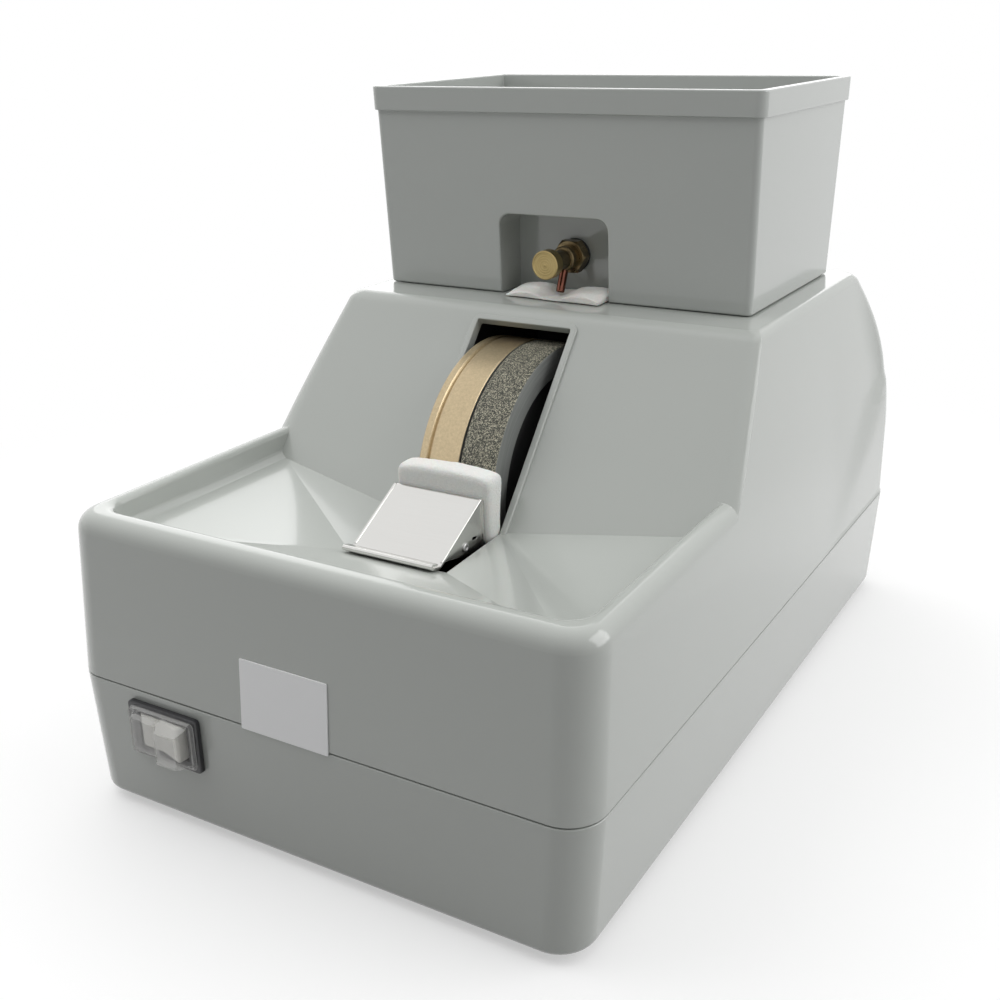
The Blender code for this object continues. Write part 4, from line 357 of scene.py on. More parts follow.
class FoamSettings(bpy.types.PropertyGroup):
    """Sponge and drip pad"""

    color: bpy.props.FloatVectorProperty(
        name="Sponge colour", description="Colour of the sponge",
        subtype="COLOR", size=3, min=0, max=1, default=(0.78, 0.785, 0.76))
    # The drip pad is the same foam as the sponge; its colour is painted lighter to make up for the shade in
    # the tap's recess.
    pad_color_painted_light: bpy.props.FloatVectorProperty(
        name="Pad colour", description="Colour of the drip pad",
        subtype="COLOR", size=3, min=0, max=1, default=(0.90, 0.89, 0.85))
    sponge_crown: bpy.props.FloatProperty(
        name="Sponge crown", description="How far the sponge's ends lie below its middle",
        unit="LENGTH", min=0, max=4 * MM, default=1.2 * MM)
    pad_pinch: bpy.props.FloatProperty(
        name="Pad pinch", description="Depth of the pinch between the drip pad's two puffs",
        unit="LENGTH", min=0, max=5 * MM, default=4.2 * MM)


class FittingSettings(bpy.types.PropertyGroup):
    """Bracket, tap and switch"""

    steel_color: bpy.props.FloatVectorProperty(
        name="Bracket colour", description="Colour of the stainless sheet",
        subtype="COLOR", size=3, min=0, max=1, default=(0.72, 0.715, 0.695))
    brass_color: bpy.props.FloatVectorProperty(
        name="Brass colour", description="Colour of the tap's brass",
        subtype="COLOR", size=3, min=0, max=1, default=(0.46, 0.36, 0.17))
    sheet: bpy.props.FloatProperty(
        name="Sheet thickness", description="Thickness of the bracket's sheet",
        unit="LENGTH", min=0.4 * MM, max=0.8 * MM, default=0.8 * MM)
    knob_radius: bpy.props.FloatProperty(
        name="Knob radius", description="Radius of the tap's knob",
        unit="LENGTH", min=4 * MM, max=6 * MM, default=6 * MM)
    boot_alpha: bpy.props.FloatProperty(
        name="Boot opacity", description="Opacity of the clear boot over the switch",
        subtype="FACTOR", min=0.02, max=1, default=0.05)


class StageSettings(bpy.types.PropertyGroup):
    """Camera, lamps and floor"""

    lens: bpy.props.FloatProperty(
        name="Lens", description="Focal length of the camera", unit="CAMERA", min=20, max=100, default=45.03)
    lamp_level: bpy.props.FloatProperty(
        name="Lamp level", description="Brightness of all lamps together",
        subtype="FACTOR", min=0.1, max=3, default=1)
    ambient: bpy.props.FloatProperty(
        name="Ambient", description="Strength of the even light from all around",
        subtype="FACTOR", min=0, max=1, default=0.22)


# Mesh tools


def new_object(name, mesh):
    obj = bpy.data.objects.new(name, mesh)
    bpy.context.scene.collection.objects.link(obj)
    return obj


def from_shape(name, shape):
    bmesh.ops.recalc_face_normals(shape, faces=shape.faces)
    mesh = bpy.data.meshes.new(name)
    shape.to_mesh(mesh)
    shape.free()
    return new_object(name, mesh)


def baked(obj):
    """Makes the result of an object's modifiers its mesh."""
    graph = bpy.context.evaluated_depsgraph_get()
    mesh = bpy.data.meshes.new_from_object(obj.evaluated_get(graph))
    old = obj.data
    obj.modifiers.clear()
    obj.data = mesh
    bpy.data.meshes.remove(old)
    return obj


def modify(obj, name, kind, **settings):
    modifier = obj.modifiers.new(name, kind)
    for key, value in settings.items():
        setattr(modifier, key, value)


def carve(obj, *cutters, operation="DIFFERENCE"):
    """Joins or cuts an object with others, which are used up."""
    for cutter in cutters:
        modify(obj, cutter.name, "BOOLEAN", operation=operation, object=cutter, solver="EXACT")
    bpy.context.view_layer.update()
    baked(obj)
    for cutter in cutters:
        bpy.data.objects.remove(cutter)


def softened(obj, width, segments=2, angle=math.radians(35)):
    """Rounds the edges that turn by more than the angle."""
    modify(obj, "edges", "BEVEL", width=width, segments=segments, limit_method="ANGLE", angle_limit=angle)
    return baked(obj)


def tidied(obj):
    """Welds the crumbs that cuts leave."""
    shape = bmesh.new()
    shape.from_mesh(obj.data)
    bmesh.ops.remove_doubles(shape, verts=shape.verts, dist=WELD)
    bmesh.ops.dissolve_degenerate(shape, dist=WELD / 2, edges=shape.edges)
    shape.to_mesh(obj.data)
    shape.free()
    return obj


def shaded(obj, angle=SHARP_ANGLE):
    """Smooth shading, with crisp folds at sharp edges and where two broad flat faces meet."""
    mesh = obj.data
    mesh.shade_smooth()
    mesh.set_sharp_from_angle(angle=angle)
    shape = bmesh.new()
    shape.from_mesh(mesh)
    for edge in shape.edges:
        if len(edge.link_faces) == 2:
            broad = min(face.calc_area() for face in edge.link_faces) > CREASE_AREA
            if broad and edge.calc_face_angle(0) > CREASE_ANGLE:
                edge.smooth = False
    shape.to_mesh(mesh)
    shape.free()
    modify(obj, "even shading", "WEIGHTED_NORMAL", keep_sharp=True)


def placed(obj, body, finish_name, slot, *nodes):
    """Gives a piece its shading, finish and body, and puts it in the model's frame."""
    shaded(obj)
    obj.data.materials.clear()
    obj.data.materials.append(finish(finish_name))
    obj.matrix_world = Matrix.Translation(FRAME_SHIFT) @ obj.matrix_world
    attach(obj, body)
    if nodes:
        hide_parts(*nodes)
    return obj


def band(shape, low, high):
    """Faces all the way round between two rows of vertices, of which one may be a single vertex."""
    sides = max(len(low), len(high))
    for k in range(sides):
        j = (k + 1) % sides
        corners = (low[k % len(low)], low[j % len(low)], high[j % len(high)], high[k % len(high)])
        loop = list(dict.fromkeys(corners))
        if len(loop) > 2:
            shape.faces.new(loop)


def skinned(name, rings, close=False, caps=True):
    """Skin over rings of points, capped at both ends, left open or closed on itself."""
    shape = bmesh.new()
    rows = [[shape.verts.new(point) for point in ring] for ring in rings]
    for low, high in zip(rows, rows[1:] + rows[:1] if close else rows[1:]):
        band(shape, low, high)
    if caps:
        shape.faces.new(list(reversed(rows[0])))
        shape.faces.new(rows[-1])
    return from_shape(name, shape)


def turned(name, profile, centre, axis, sides=PIPE_SIDES, close=False):
    """Turns (radius, along) points about the axis through centre. On Y, along runs to the front."""
    turn = 2 * math.pi / sides
    rings = []
    for radius, along in profile:
        angles = [turn * k for k in range(1 if radius < MERGE else sides)]
        rings.append([(radius * math.cos(a), radius * math.sin(a), along) for a in angles])
    obj = skinned(name, rings, close, caps=False)
    obj.matrix_world = Matrix.Translation(centre) @ AXES[axis]
    return obj


def rod(name, radius, low, high, centre, axis, sides=PIPE_SIDES):
    """A plain cylinder from low to high along its axis."""
    return turned(name, [(0, low), (radius, low), (radius, high), (0, high)], centre, axis, sides)


def rounded(points, radius, steps=4, close=True):
    """A flat outline with its corners rounded. radius is one length, or one for each point."""
    points = [Vector(point) for point in points]
    made = []
    for i, point in enumerate(points):
        size = radius[i] if isinstance(radius, (list, tuple)) else radius
        if size == 0 or (not close and i in (0, len(points) - 1)):
            made.append(point)
            continue
        before = points[i - 1] - point
        after = points[(i + 1) % len(points)] - point
        half = before.angle(after) / 2
        reach = min(size / math.tan(half), before.length * CORNER_LIMIT, after.length * CORNER_LIMIT)
        start, end = point + before.normalized() * reach, point + after.normalized() * reach
        for step in range(steps + 1):
            t = step / steps
            made.append(start * (1 - t) ** 2 + point * 2 * t * (1 - t) + end * t ** 2)
    return made


def drawn_out(name, outline, start, end, axis="X", centre=(0, 0, 0)):
    """A flat outline drawn out along an axis: (y, z) points on X, (x, z) to the front on Y, (x, y) on Z."""
    rings = [[(point[0], point[1], along) for point in outline] for along in (start, end)]
    obj = skinned(name, rings)
    obj.matrix_world = Matrix.Translation(centre) @ AXES[axis]
    return obj


def block(name, low, high, bevel=0, segments=2):
    """A box between two corners, with its edges rounded."""
    low, high = Vector(low), Vector(high)
    outline = [(low.x, low.y), (high.x, low.y), (high.x, high.y), (low.x, high.y)]
    obj = drawn_out(name, outline, low.z, high.z, "Z")
    return softened(obj, bevel, segments) if bevel else obj


def window(name, x, z, half_width, half_height, front, back):
    """A box given by its middle and half sizes as seen from the front, and by its two faces."""
    return block(name, (x - half_width, front, z - half_height), (x + half_width, back, z + half_height))


def rectangle(half_width, half_height):
    """Corners of a flat rectangle about its middle."""
    w, h = half_width, half_height
    return [(-w, -h), (w, -h), (w, h), (-w, h)]


def sleeve(name, radii, ends, rounding, steps, centre, axis, sides=PIPE_SIDES):
    """A turned ring between two radii and two ends, with its edges rounded."""
    (inner, outer), (low, high) = radii, ends
    section = rounded([(inner, low), (outer, low), (outer, high), (inner, high)], rounding, steps)
    return turned(name, section, centre, axis, sides, close=True)


def arc(x, y, radius, start):
    """Points on a quarter circle that turns left from start, in degrees."""
    angles = [math.radians(start + 90 * step / CORNER_STEPS) for step in range(CORNER_STEPS + 1)]
    return [(x + radius * math.cos(a), y + radius * math.sin(a)) for a in angles]


def quarter(steps):
    """Cosine and sine of a quarter turn in equal steps, as one minus each."""
    angles = [math.pi / 2 * step / steps for step in range(steps + 1)]
    return [(1 - math.cos(a), 1 - math.sin(a)) for a in angles]


def soft(share):
    """A share held between zero and one, with soft ends."""
    share = min(max(share, 0), 1)
    return share * share * (3 - 2 * share)


def mm(*values):
    return [value * MM for value in values]


def strip_outline(points, thickness):
    """Outline of a sheet whose middle follows the points, with rounded ends."""
    points = [Vector(point) for point in points]
    left, right = [], []
    for i, point in enumerate(points):
        before = point - points[max(i - 1, 0)]
        after = points[min(i + 1, len(points) - 1)] - point
        heading = (before.normalized() + after.normalized()).normalized()
        side = Vector((-heading.y, heading.x)) * thickness / 2
        left.append(point + side)
        right.append(point - side)
    tip = (points[-1] - points[-2]).normalized() * thickness / 4
    tail = (points[0] - points[1]).normalized() * thickness / 4
    left[-1], right[-1] = left[-1] - tip, right[-1] - tip
    left[0], right[0] = left[0] - tail, right[0] - tail
    return [*left, points[-1] + tip * 2, *reversed(right), points[0] + tail * 2]


def joined(name, objects):
    """One object of several, which are used up."""
    shape = bmesh.new()
    for obj in objects:
        start = len(shape.verts)
        shape.from_mesh(obj.data)
        shape.verts.ensure_lookup_table()
        bmesh.ops.transform(shape, matrix=obj.matrix_world, verts=shape.verts[start:])
    for obj in objects:
        bpy.data.objects.remove(obj)
    return from_shape(name, shape)


# Node tools


def add(tree, kind, inputs=(), **settings):
    """A node with its settings, and its inputs set to values or joined to sockets."""
    node = tree.nodes.new(kind)
    for name, value in settings.items():
        setattr(node, name, value)
    for key, value in dict(inputs).items():
        if isinstance(value, bpy.types.NodeSocket):
            tree.links.new(value, node.inputs[key])
        else:
            node.inputs[key].default_value = value
    return node


def maths(tree, operation, *values):
    return add(tree, "ShaderNodeMath", dict(enumerate(values)), operation=operation).outputs[0]


def vectors(tree, operation, *values, output="Vector"):
    return add(tree, "ShaderNodeVectorMath", dict(enumerate(values)), operation=operation).outputs[output]


def noisy(tree, place, scale, detail, roughness=0.5):
    inputs = {"Vector": place, "Scale": scale, "Detail": detail, "Roughness": roughness}
    return add(tree, "ShaderNodeTexNoise", inputs).outputs["Fac"]


def spread(tree, value, low, high):
    """A value drawn out so that low gives zero and high gives one."""
    return add(tree, "ShaderNodeMapRange", {"Value": value, "From Min": low, "From Max": high}).outputs[0]


def swing(tree, value, depth, middle):
    """middle plus depth times a noise value that lies about a half."""
    return maths(tree, "MULTIPLY_ADD", maths(tree, "SUBTRACT", value, 0.5), depth, middle)


def tinted(tree, value, color):
    return add(tree, "ShaderNodeHueSaturation", {"Value": value, "Color": color}).outputs["Color"]


def mixed(tree, factor, first, second):
    inputs = {"Factor": factor, "A": first, "B": second}
    return add(tree, "ShaderNodeMix", inputs, data_type="RGBA").outputs["Result"]


# Effects


def moulded(tree, given, place):
    """Cloudy colour, wiped gloss and the faint grain of a mould."""
    cloud = noisy(tree, place, 16.0, 3.0)
    smudge = noisy(tree, place, 48.0, 7.0, 0.62)
    return {
        "Color": tinted(tree, swing(tree, cloud, given["Cloud"], 1.0), given["Color"]),
        "Roughness": swing(tree, smudge, given["Smudge"], given["Roughness"]),
        "Height": noisy(tree, place, given["Grain Scale"], 2.0),
    }


def lathed(tree, given, place):
    """Fine lines left by a lathe round the object's own Z axis, with slow streaks along them."""
    flat = vectors(tree, "MULTIPLY", place, (1, 1, 0))
    radius = vectors(tree, "LENGTH", flat, output="Value")
    heading = vectors(tree, "NORMALIZE", flat)
    slow = add(tree, "ShaderNodeVectorMath", {0: heading, "Scale": given["Streak"]}, operation="SCALE")
    along = add(tree, "ShaderNodeSeparateXYZ", {0: place}).outputs["Z"]
    lines = maths(tree, "MULTIPLY", along, given["Line Scale"])
    rings = maths(tree, "MULTIPLY", radius, given["Line Scale"])
    lift = add(tree, "ShaderNodeCombineXYZ", {"Z": lines})
    spot = vectors(tree, "ADD", slow.outputs[0], lift.outputs[0])
    inputs = {"Vector": spot, "W": rings, "Scale": 1.0, "Detail": 4.0, "Roughness": 0.7}
    grain = add(tree, "ShaderNodeTexNoise", inputs, noise_dimensions="4D").outputs["Fac"]
    return {
        "Color": mixed(tree, spread(tree, grain, 0.35, 0.68), given["Dark Color"], given["Color"]),
        "Roughness": swing(tree, grain, given["Roughness Swing"], given["Roughness"]),
        "Height": grain,
    }


def handled(tree, given, place):
    """Tarnish and finger marks on bare metal."""
    marks = noisy(tree, place, given["Scale"], 6.0, 0.65)
    amount = maths(tree, "MULTIPLY", spread(tree, marks, 0.38, 0.72), given["Tarnish"])
    return {
        "Color": mixed(tree, amount, given["Color"], given["Tarnish Color"]),
        "Roughness": swing(tree, marks, 0.25, given["Roughness"]),
        "Height": noisy(tree, place, 2400.0, 2.0),
    }


def grains(tree, given, place):
    """Packed cells of mixed brightness, as in bonded grit or foam."""
    cells = add(tree, "ShaderNodeTexVoronoi", {"Vector": place, "Scale": given["Scale"]}).outputs
    pick = add(tree, "ShaderNodeSeparateColor", {0: cells["Color"]}).outputs
    share = spread(tree, pick[0], given["Low"], given["High"])
    return {
        "Color": mixed(tree, share, given["Color"], given["Grain Color"]),
        "Height": maths(tree, "SUBTRACT", cells["Distance"], pick[1]),
    }


def brushed(tree, given, place):
    """Sheet metal with brush lines along X and soft ripples from folding."""
    lines = noisy(tree, vectors(tree, "MULTIPLY", place, (60, 2600, 2600)), 1.0, 3.0)
    ripple = noisy(tree, place, 70.0, 2.0)
    return {
        "Color": tinted(tree, swing(tree, lines, given["Depth"], 1.0), given["Color"]),
        "Roughness": swing(tree, lines, 0.12, given["Roughness"]),
        "Height": maths(tree, "ADD", ripple, maths(tree, "MULTIPLY", lines, 0.06)),
    }


# What makes each effect, and its inputs with their defaults
EFFECTS = {
    "Moulded surface": (moulded, {
        "Color": (0.5, 0.5, 0.5), "Cloud": 0.05, "Roughness": 0.25, "Smudge": 0.08, "Grain Scale": 1500}),
    "Turned lines": (lathed, {
        "Color": (0.7, 0.6, 0.4), "Dark Color": (0.3, 0.2, 0.1), "Line Scale": 1500, "Streak": 3,
        "Roughness": 0.35, "Roughness Swing": 0.2}),
    "Handled metal": (handled, {
        "Color": (0.6, 0.6, 0.6), "Tarnish Color": (0.2, 0.2, 0.2), "Tarnish": 0.4, "Scale": 90,
        "Roughness": 0.3}),
    "Packed grains": (grains, {
        "Color": (0.1, 0.1, 0.1), "Grain Color": (0.6, 0.6, 0.55), "Scale": 1500, "Low": 0.4, "High": 0.9}),
    "Brushed sheet": (brushed, {"Color": (0.8, 0.8, 0.8), "Depth": 0.1, "Roughness": 0.2}),
}


def effect(name):
    """The node group of an effect, built when it is first asked for."""
    if name in bpy.data.node_groups:
        return bpy.data.node_groups[name]
    build, inputs = EFFECTS[name]
    tree = bpy.data.node_groups.new(name, "ShaderNodeTree")
    for label, default in inputs.items():
        color = isinstance(default, tuple)
        kind = "NodeSocketColor" if color else "NodeSocketFloat"
        socket = tree.interface.new_socket(label, in_out="INPUT", socket_type=kind)
        socket.default_value = (*default, 1) if color else default
    given = tree.nodes.new("NodeGroupInput").outputs
    made = build(tree, given, add(tree, "ShaderNodeTexCoord").outputs["Object"])
    for label in made:
        kind = "NodeSocketColor" if label == "Color" else "NodeSocketFloat"
        tree.interface.new_socket(label, in_out="OUTPUT", socket_type=kind)
    add(tree, "NodeGroupOutput", made)
    return tree


def surface(name, effect_name, values, depth, shader_values):
    """A material whose colour, roughness and height come from an effect."""
    made = bpy.data.materials.new(name)
    made.use_nodes = True
    tree = made.node_tree
    shader = tree.nodes["Principled BSDF"]
    group = add(tree, "ShaderNodeGroup", node_tree=effect(effect_name))
    for key, value in values.items():
        group.inputs[key].default_value = (*value, 1) if isinstance(value, tuple) else value
    for key, value in shader_values.items():
        shader.inputs[key].default_value = value
    tree.links.new(group.outputs["Color"], shader.inputs["Base Color"])
    if "Roughness" in group.outputs:
        tree.links.new(group.outputs["Roughness"], shader.inputs["Roughness"])
    relief = {"Height": group.outputs["Height"], "Distance": depth, "Strength": 1.0}
    bump = add(tree, "ShaderNodeBump", relief)
    tree.links.new(bump.outputs["Normal"], shader.inputs["Normal"])
    return made


# Finishes

FINISHES = {}


def plastic(name, color, roughness, gloss=0.0, cloud=0.05, smudge=0.08, scale=1500.0, depth=0.004 * MM):
    values = {"Color": color, "Cloud": cloud, "Roughness": roughness, "Smudge": smudge, "Grain Scale": scale}
    return surface(name, "Moulded surface", values, depth, {"Coat Weight": gloss, "Coat Roughness": 0.06})


def bare_metal(name, color, tarnish_color, roughness, tarnish=0.35, scale=90.0):
    values = {"Color": color, "Tarnish Color": tarnish_color, "Tarnish": tarnish, "Scale": scale,
              "Roughness": roughness}
    return surface(name, "Handled metal", values, 0.004 * MM, {"Metallic": 1.0})


def turned_metal(name, color, dark, roughness, line_scale, streak, depth, metallic):
    values = {"Color": color, "Dark Color": dark, "Line Scale": line_scale, "Streak": streak,
              "Roughness": roughness}
    return surface(name, "Turned lines", values, depth, {"Metallic": metallic})


def brushed_sheet(name, color):
    values = {"Color": color, "Depth": 0.05, "Roughness": 0.2}
    return surface(name, "Brushed sheet", values, 0.05 * MM, {"Metallic": 1.0})


def bonded_grit(name, color, grain_color):
    values = {"Color": color, "Grain Color": grain_color, "Scale": 3000.0, "Low": 0.46, "High": 0.95}
    return surface(name, "Packed grains", values, 0.2 * MM, {"Metallic": 0.3, "Roughness": 0.45})


def soft_foam(name, color):
    cells = darker(color, 0.93)
    values = {"Color": color, "Grain Color": cells, "Scale": 1700.0, "Low": 0.2, "High": 1.3}
    shader_values = {"Roughness": 0.95, "Subsurface Weight": 0.15, "Subsurface Scale": 2 * MM,
                     "Sheen Weight": 0.2}
    return surface(name, "Packed grains", values, 0.1 * MM, shader_values)


def clear_rubber(name, least_alpha):
    """Soft clear rubber that grows denser towards its edges, as a thin shell does."""
    made = plastic(name, (0.86, 0.86, 0.84), 0.14, gloss=0.8, depth=0.01 * MM, scale=400.0)
    tree = made.node_tree
    outline = add(tree, "ShaderNodeLayerWeight", {"Blend": 0.3}).outputs["Fresnel"]
    dense = add(tree, "ShaderNodeMapRange", {"Value": outline, "To Min": least_alpha, "To Max": 0.38})
    tree.links.new(dense.outputs[0], tree.nodes["Principled BSDF"].inputs["Alpha"])
    return made


def darker(color, share):
    return tuple(share * c for c in color)


def finish(name):
    """The material of a finish, built when it is first asked for."""
    if name in FINISHES:
        return FINISHES[name]
    scene = bpy.context.scene
    casing, wheels = scene.edger_casing, scene.edger_wheels
    foam, fittings = scene.edger_foam, scene.edger_fittings
    mould = (0.18, casing.gloss, 0.02, 0.025, 1500.0, 0.0015 * MM)
    bronze, brass = tuple(wheels.fine_color), tuple(fittings.brass_color)
    recipes = {
        "casing plastic": (plastic, tuple(casing.casing_color), *mould),
        "tank plastic": (plastic, tuple(casing.tank_color), *mould),
        "black plastic": (plastic, (0.018, 0.018, 0.021), 0.34, 0.2, 0.1, 0.14, 1800, 0.01 * MM),
        "rocker plastic": (plastic, (0.80, 0.79, 0.74), 0.38, 0.1, 0.04),
        "clear rubber": (clear_rubber, fittings.boot_alpha),
        "rubber": (plastic, (0.022, 0.022, 0.022), 0.72, 0, 0.2, 0.1, 1400, 0.04 * MM),
        # Near-black plastic for the wheel tub and splash hood: painted shade standing in for the dark inside
        # of the wheel slot.
        "tub plastic": (plastic, (0.03, 0.03, 0.032), 0.5, 0, 0.15, 0.1),
        "white plate": (plastic, (0.91, 0.915, 0.92), 0.3, 0.3, 0.01, 0.05),
        "motor enamel": (plastic, (0.10, 0.17, 0.17), 0.4, 0.2, 0.1, 0.1, 900, 0.02 * MM),
        "steel": (bare_metal, (0.56, 0.56, 0.56), (0.30, 0.29, 0.28), 0.34),
        "aluminium": (bare_metal, (0.70, 0.70, 0.71), (0.42, 0.42, 0.42), 0.42),
        "copper": (bare_metal, (0.19, 0.075, 0.052), (0.05, 0.022, 0.018), 0.2, 0.6, 300),
        "brass": (bare_metal, brass, (0.16, 0.11, 0.05), 0.27, 0.7, 260),
        "dark brass": (bare_metal, (0.21, 0.16, 0.085), (0.045, 0.035, 0.02), 0.3, 0.85, 260),
        "knob brass": (
            turned_metal, darker(brass, 0.8), (0.32, 0.245, 0.11), 0.32, 1500, 1.5, 0.004 * MM, 1.0),
        "stainless": (brushed_sheet, tuple(fittings.steel_color)),
        "fine bond": (turned_metal, bronze, darker(bronze, 0.8), 0.36, 1100, 60, 0.012 * MM, 0.9),
        "wheel side": (
            turned_metal, (0.34, 0.35, 0.34), (0.26, 0.27, 0.26), 0.48, 900, 1.5, 0.01 * MM, 0.6),
        "coarse grit": (bonded_grit, tuple(wheels.coarse_color), (0.55, 0.52, 0.40)),
        "sponge foam": (soft_foam, tuple(foam.color)),
        # The pad's foam is the sponge's foam painted lighter, making up for the shade in the tap's recess.
        "pad foam": (soft_foam, tuple(foam.pad_color_painted_light)),
    }
    make, *values = recipes[name]
    FINISHES[name] = make(name.replace(" ", "_"), *values)
    return FINISHES[name]


# Casing outlines


def plan_ring(half_width, front, back, radius, height, places=()):
    """Rounded rectangle seen from above, from the front right corner round to the front left one."""
    side, near, far = half_width - radius, front + radius, back - radius
    ring = arc(side, near, radius, -90) + [(half_width, y) for y in places]
    ring += arc(side, far, radius, 0) + arc(-side, far, radius, 90)
    ring += [(-half_width, y) for y in reversed(places)] + arc(-side, near, radius, 180)
    return [Vector((x, y, height)) for x, y in ring]


def slope_y(height):
    return SLOPE_FOOT_Y + (height - RIM_HEIGHT) * SLOPE_RUN


def back_y(height):
    share = max(0, (height - BACK_SWEEP_START) / (PLATFORM_HEIGHT - BACK_SWEEP_START))
    return HALF_DEPTH - BACK_SWEEP * share ** BACK_SWEEP_POWER


def front_y(height):
    share = (height - SEAM_HEIGHT) / (RIM_HEIGHT - SEAM_HEIGHT)
    return -HALF_DEPTH + RIM_FRONT_DRAFT * min(max(share, 0), 1)


def crease_height(y):
    """Height of the fold along the cover's side, falling towards the back."""
    t = (y + HALF_DEPTH) / (2 * HALF_DEPTH)
    height = RIM_HEIGHT - CREASE_DROP - CREASE_FALL * t - CREASE_CURVE * t * t
    return max(height, SEAM_HEIGHT + CREASE_LOW)


def rear_corner_share(y, height):
    """How far a place on the side has passed from the leaning flank to the fuller rear corner."""
    if height < FLANK_END_HEIGHT:
        rise = (height - FLANK_LOW_HEIGHT) / (FLANK_END_HEIGHT - FLANK_LOW_HEIGHT)
        flank_end = FLANK_LOW_Y + (FLANK_END_Y - FLANK_LOW_Y) * rise
    else:
        rise = (height - FLANK_END_HEIGHT) / (PLATFORM_HEIGHT - FLANK_END_HEIGHT)
        flank_end = FLANK_END_Y + (FLANK_TOP_Y - FLANK_END_Y) * rise
    return soft((y - flank_end) / FLANK_FADE)


def side_x(y, height):
    """Half width of the cover: a near upright belt under the fold, and a full flank leaning in above it."""
    fold = crease_height(y)
    fold_x = HALF_WIDTH - BELT_LEAN
    if height <= fold:
        return HALF_WIDTH - BELT_LEAN * max(0, height - SEAM_HEIGHT) / (fold - SEAM_HEIGHT)
    lean = fold_x - PLATFORM_HALF_WIDTH
    share = (height - fold) / (PLATFORM_HEIGHT - fold)
    flank = fold_x - lean * share + FLANK_BULGE * 4 * share * (1 - share)
    sweep = max(0, (height - BACK_SWEEP_START) / (PLATFORM_HEIGHT - BACK_SWEEP_START))
    corner = fold_x - lean * sweep * sweep
    return flank + (corner - flank) * rear_corner_share(y, height)


def warped(ring, inset):
    """Draws a ring of nominal half width in to the cover's side, by place and height."""
    return [Vector((p.x * (side_x(p.y, p.z) - inset) / (HALF_WIDTH - inset), p.y, p.z)) for p in ring]


def pulled(ring, inset):
    """Moves a ring's front and back to the cover's drafted front and swept back."""
    moved = []
    for point in ring:
        far = (back_y(point.z) - inset) if point.y > 0 else (-front_y(point.z) - inset)
        moved.append(Vector((point.x, point.y * far / (HALF_DEPTH - inset), point.z)))
    return moved


def nominal_ring(inset, height):
    reach = HALF_DEPTH - inset
    return plan_ring(HALF_WIDTH - inset, -reach, reach, CORNER_RADIUS - inset, height, SIDE_PLACES)


def fitted(ring, inset):
    """Moves a nominal ring to the cover's front, back and sides."""
    return warped(pulled(ring, inset), inset)


def folded_ring(level, share, inset):
    """A ring at a share of the way up the belt, or up from the fold to the rim's rounding."""
    ring = []
    for point in nominal_ring(inset, 0):
        fold = crease_height(point.y)
        low, high = (SEAM_HEIGHT, fold) if level == "belt" else (fold, RIM_HEIGHT - RIM_ROUND)
        ring.append(Vector((point.x, point.y, low + (high - low) * share)))
    return fitted(ring, inset)


def block_rings(inset, top, rounding, seam_edge=0):
    """Rings of the cover's lower block, from the seam to the rim."""
    rings = []
    if seam_edge:
        for less, more in quarter(ROUND_STEPS // 2):
            inner = inset + seam_edge * more
            rings.append(fitted(nominal_ring(inner, SEAM_HEIGHT + seam_edge * less), inner))
    else:
        rings.append(folded_ring("belt", 0, inset))
    rings += [folded_ring("belt", share, inset) for share in BELT_SHARES]
    rings += [folded_ring("upper", share, inset) for share in UPPER_SHARES]
    if not rounding:
        low = [Vector((p.x, p.y, SEAM_HEIGHT - OVERRUN)) for p in rings[0]]
        high = [Vector((p.x, p.y, top)) for p in rings[-1]]
        return [low] + rings + [high]
    for less, more in quarter(ROUND_STEPS)[1:]:
        inner = inset + rounding * less
        rings.append(fitted(nominal_ring(inner, top - rounding * more), inner))
    return rings


def hump_ring(height, inset, front_shift):
    """A ring of the hump, whose front lies on the slope and turns part of the way to a crisp side edge."""
    front = slope_y(height) + front_shift
    half = HALF_WIDTH - inset
    rise = (height - RIM_HEIGHT) / (PLATFORM_HEIGHT - RIM_HEIGHT)
    width = SLOPE_EDGE_LOW + (SLOPE_EDGE_HIGH - SLOPE_EDGE_LOW) * rise
    bend = width / math.sin(SLOPE_EDGE_TURN)
    edge = []
    for step in range(CORNER_STEPS + 1):
        a = SLOPE_EDGE_TURN * step / CORNER_STEPS
        edge.append((half - width + bend * math.sin(a), front + bend * (1 - math.cos(a))))
    rear = [p for p in pulled(nominal_ring(inset, height), inset) if p.x > 0 and p.y > HUMP_REAR_START]
    last = edge[-1][1]
    for step in range(1, HUMP_LEAD_STEPS):
        edge.append((half, last + (rear[0].y - last) * step / HUMP_LEAD_STEPS))
    right = [Vector((x, y, height)) for x, y in edge] + rear
    left = [Vector((-p.x, p.y, p.z)) for p in reversed(right)]
    return warped(right + left, inset)


def hump_rings(inset, front_shift, top, rounding, rows):
    """Rings of the hump over rows of (height, extra inset), ending in a rounded edge when asked."""
    rings = [hump_ring(height, inset + extra, front_shift) for height, extra in rows]
    if rounding:
        for less, more in quarter(EDGE_STEPS)[1:]:
            height = top - rounding * more
            rings.append(hump_ring(height, inset + rounding * less, front_shift + rounding * less))
    return rings


def basin_levels():
    """Name, height and extra width of each outline down the hopper: lip, wall, foot fillet and floor."""
    rows = [(RIM_HEIGHT + OVERRUN, BASIN_LIP_WIDTH)]
    for less, more in reversed(quarter(ROUND_STEPS)):
        rows.append((RIM_HEIGHT - BASIN_LIP_DROP * more, BASIN_LIP_WIDTH * less))
    foot = Vector((-BASIN_WALL_DRAFT, FLOOR_HEIGHT + STRIP_HEIGHT))
    wall_top = Vector((0, RIM_HEIGHT - BASIN_LIP_DROP))
    floor = Vector((-BASIN_WALL_DRAFT - STRIP_WIDTH, FLOOR_HEIGHT))
    for wider, height in rounded([wall_top, foot, floor], FOOT_FILLET, 5, False)[1:]:
        rows.append((height, wider))
    return rows


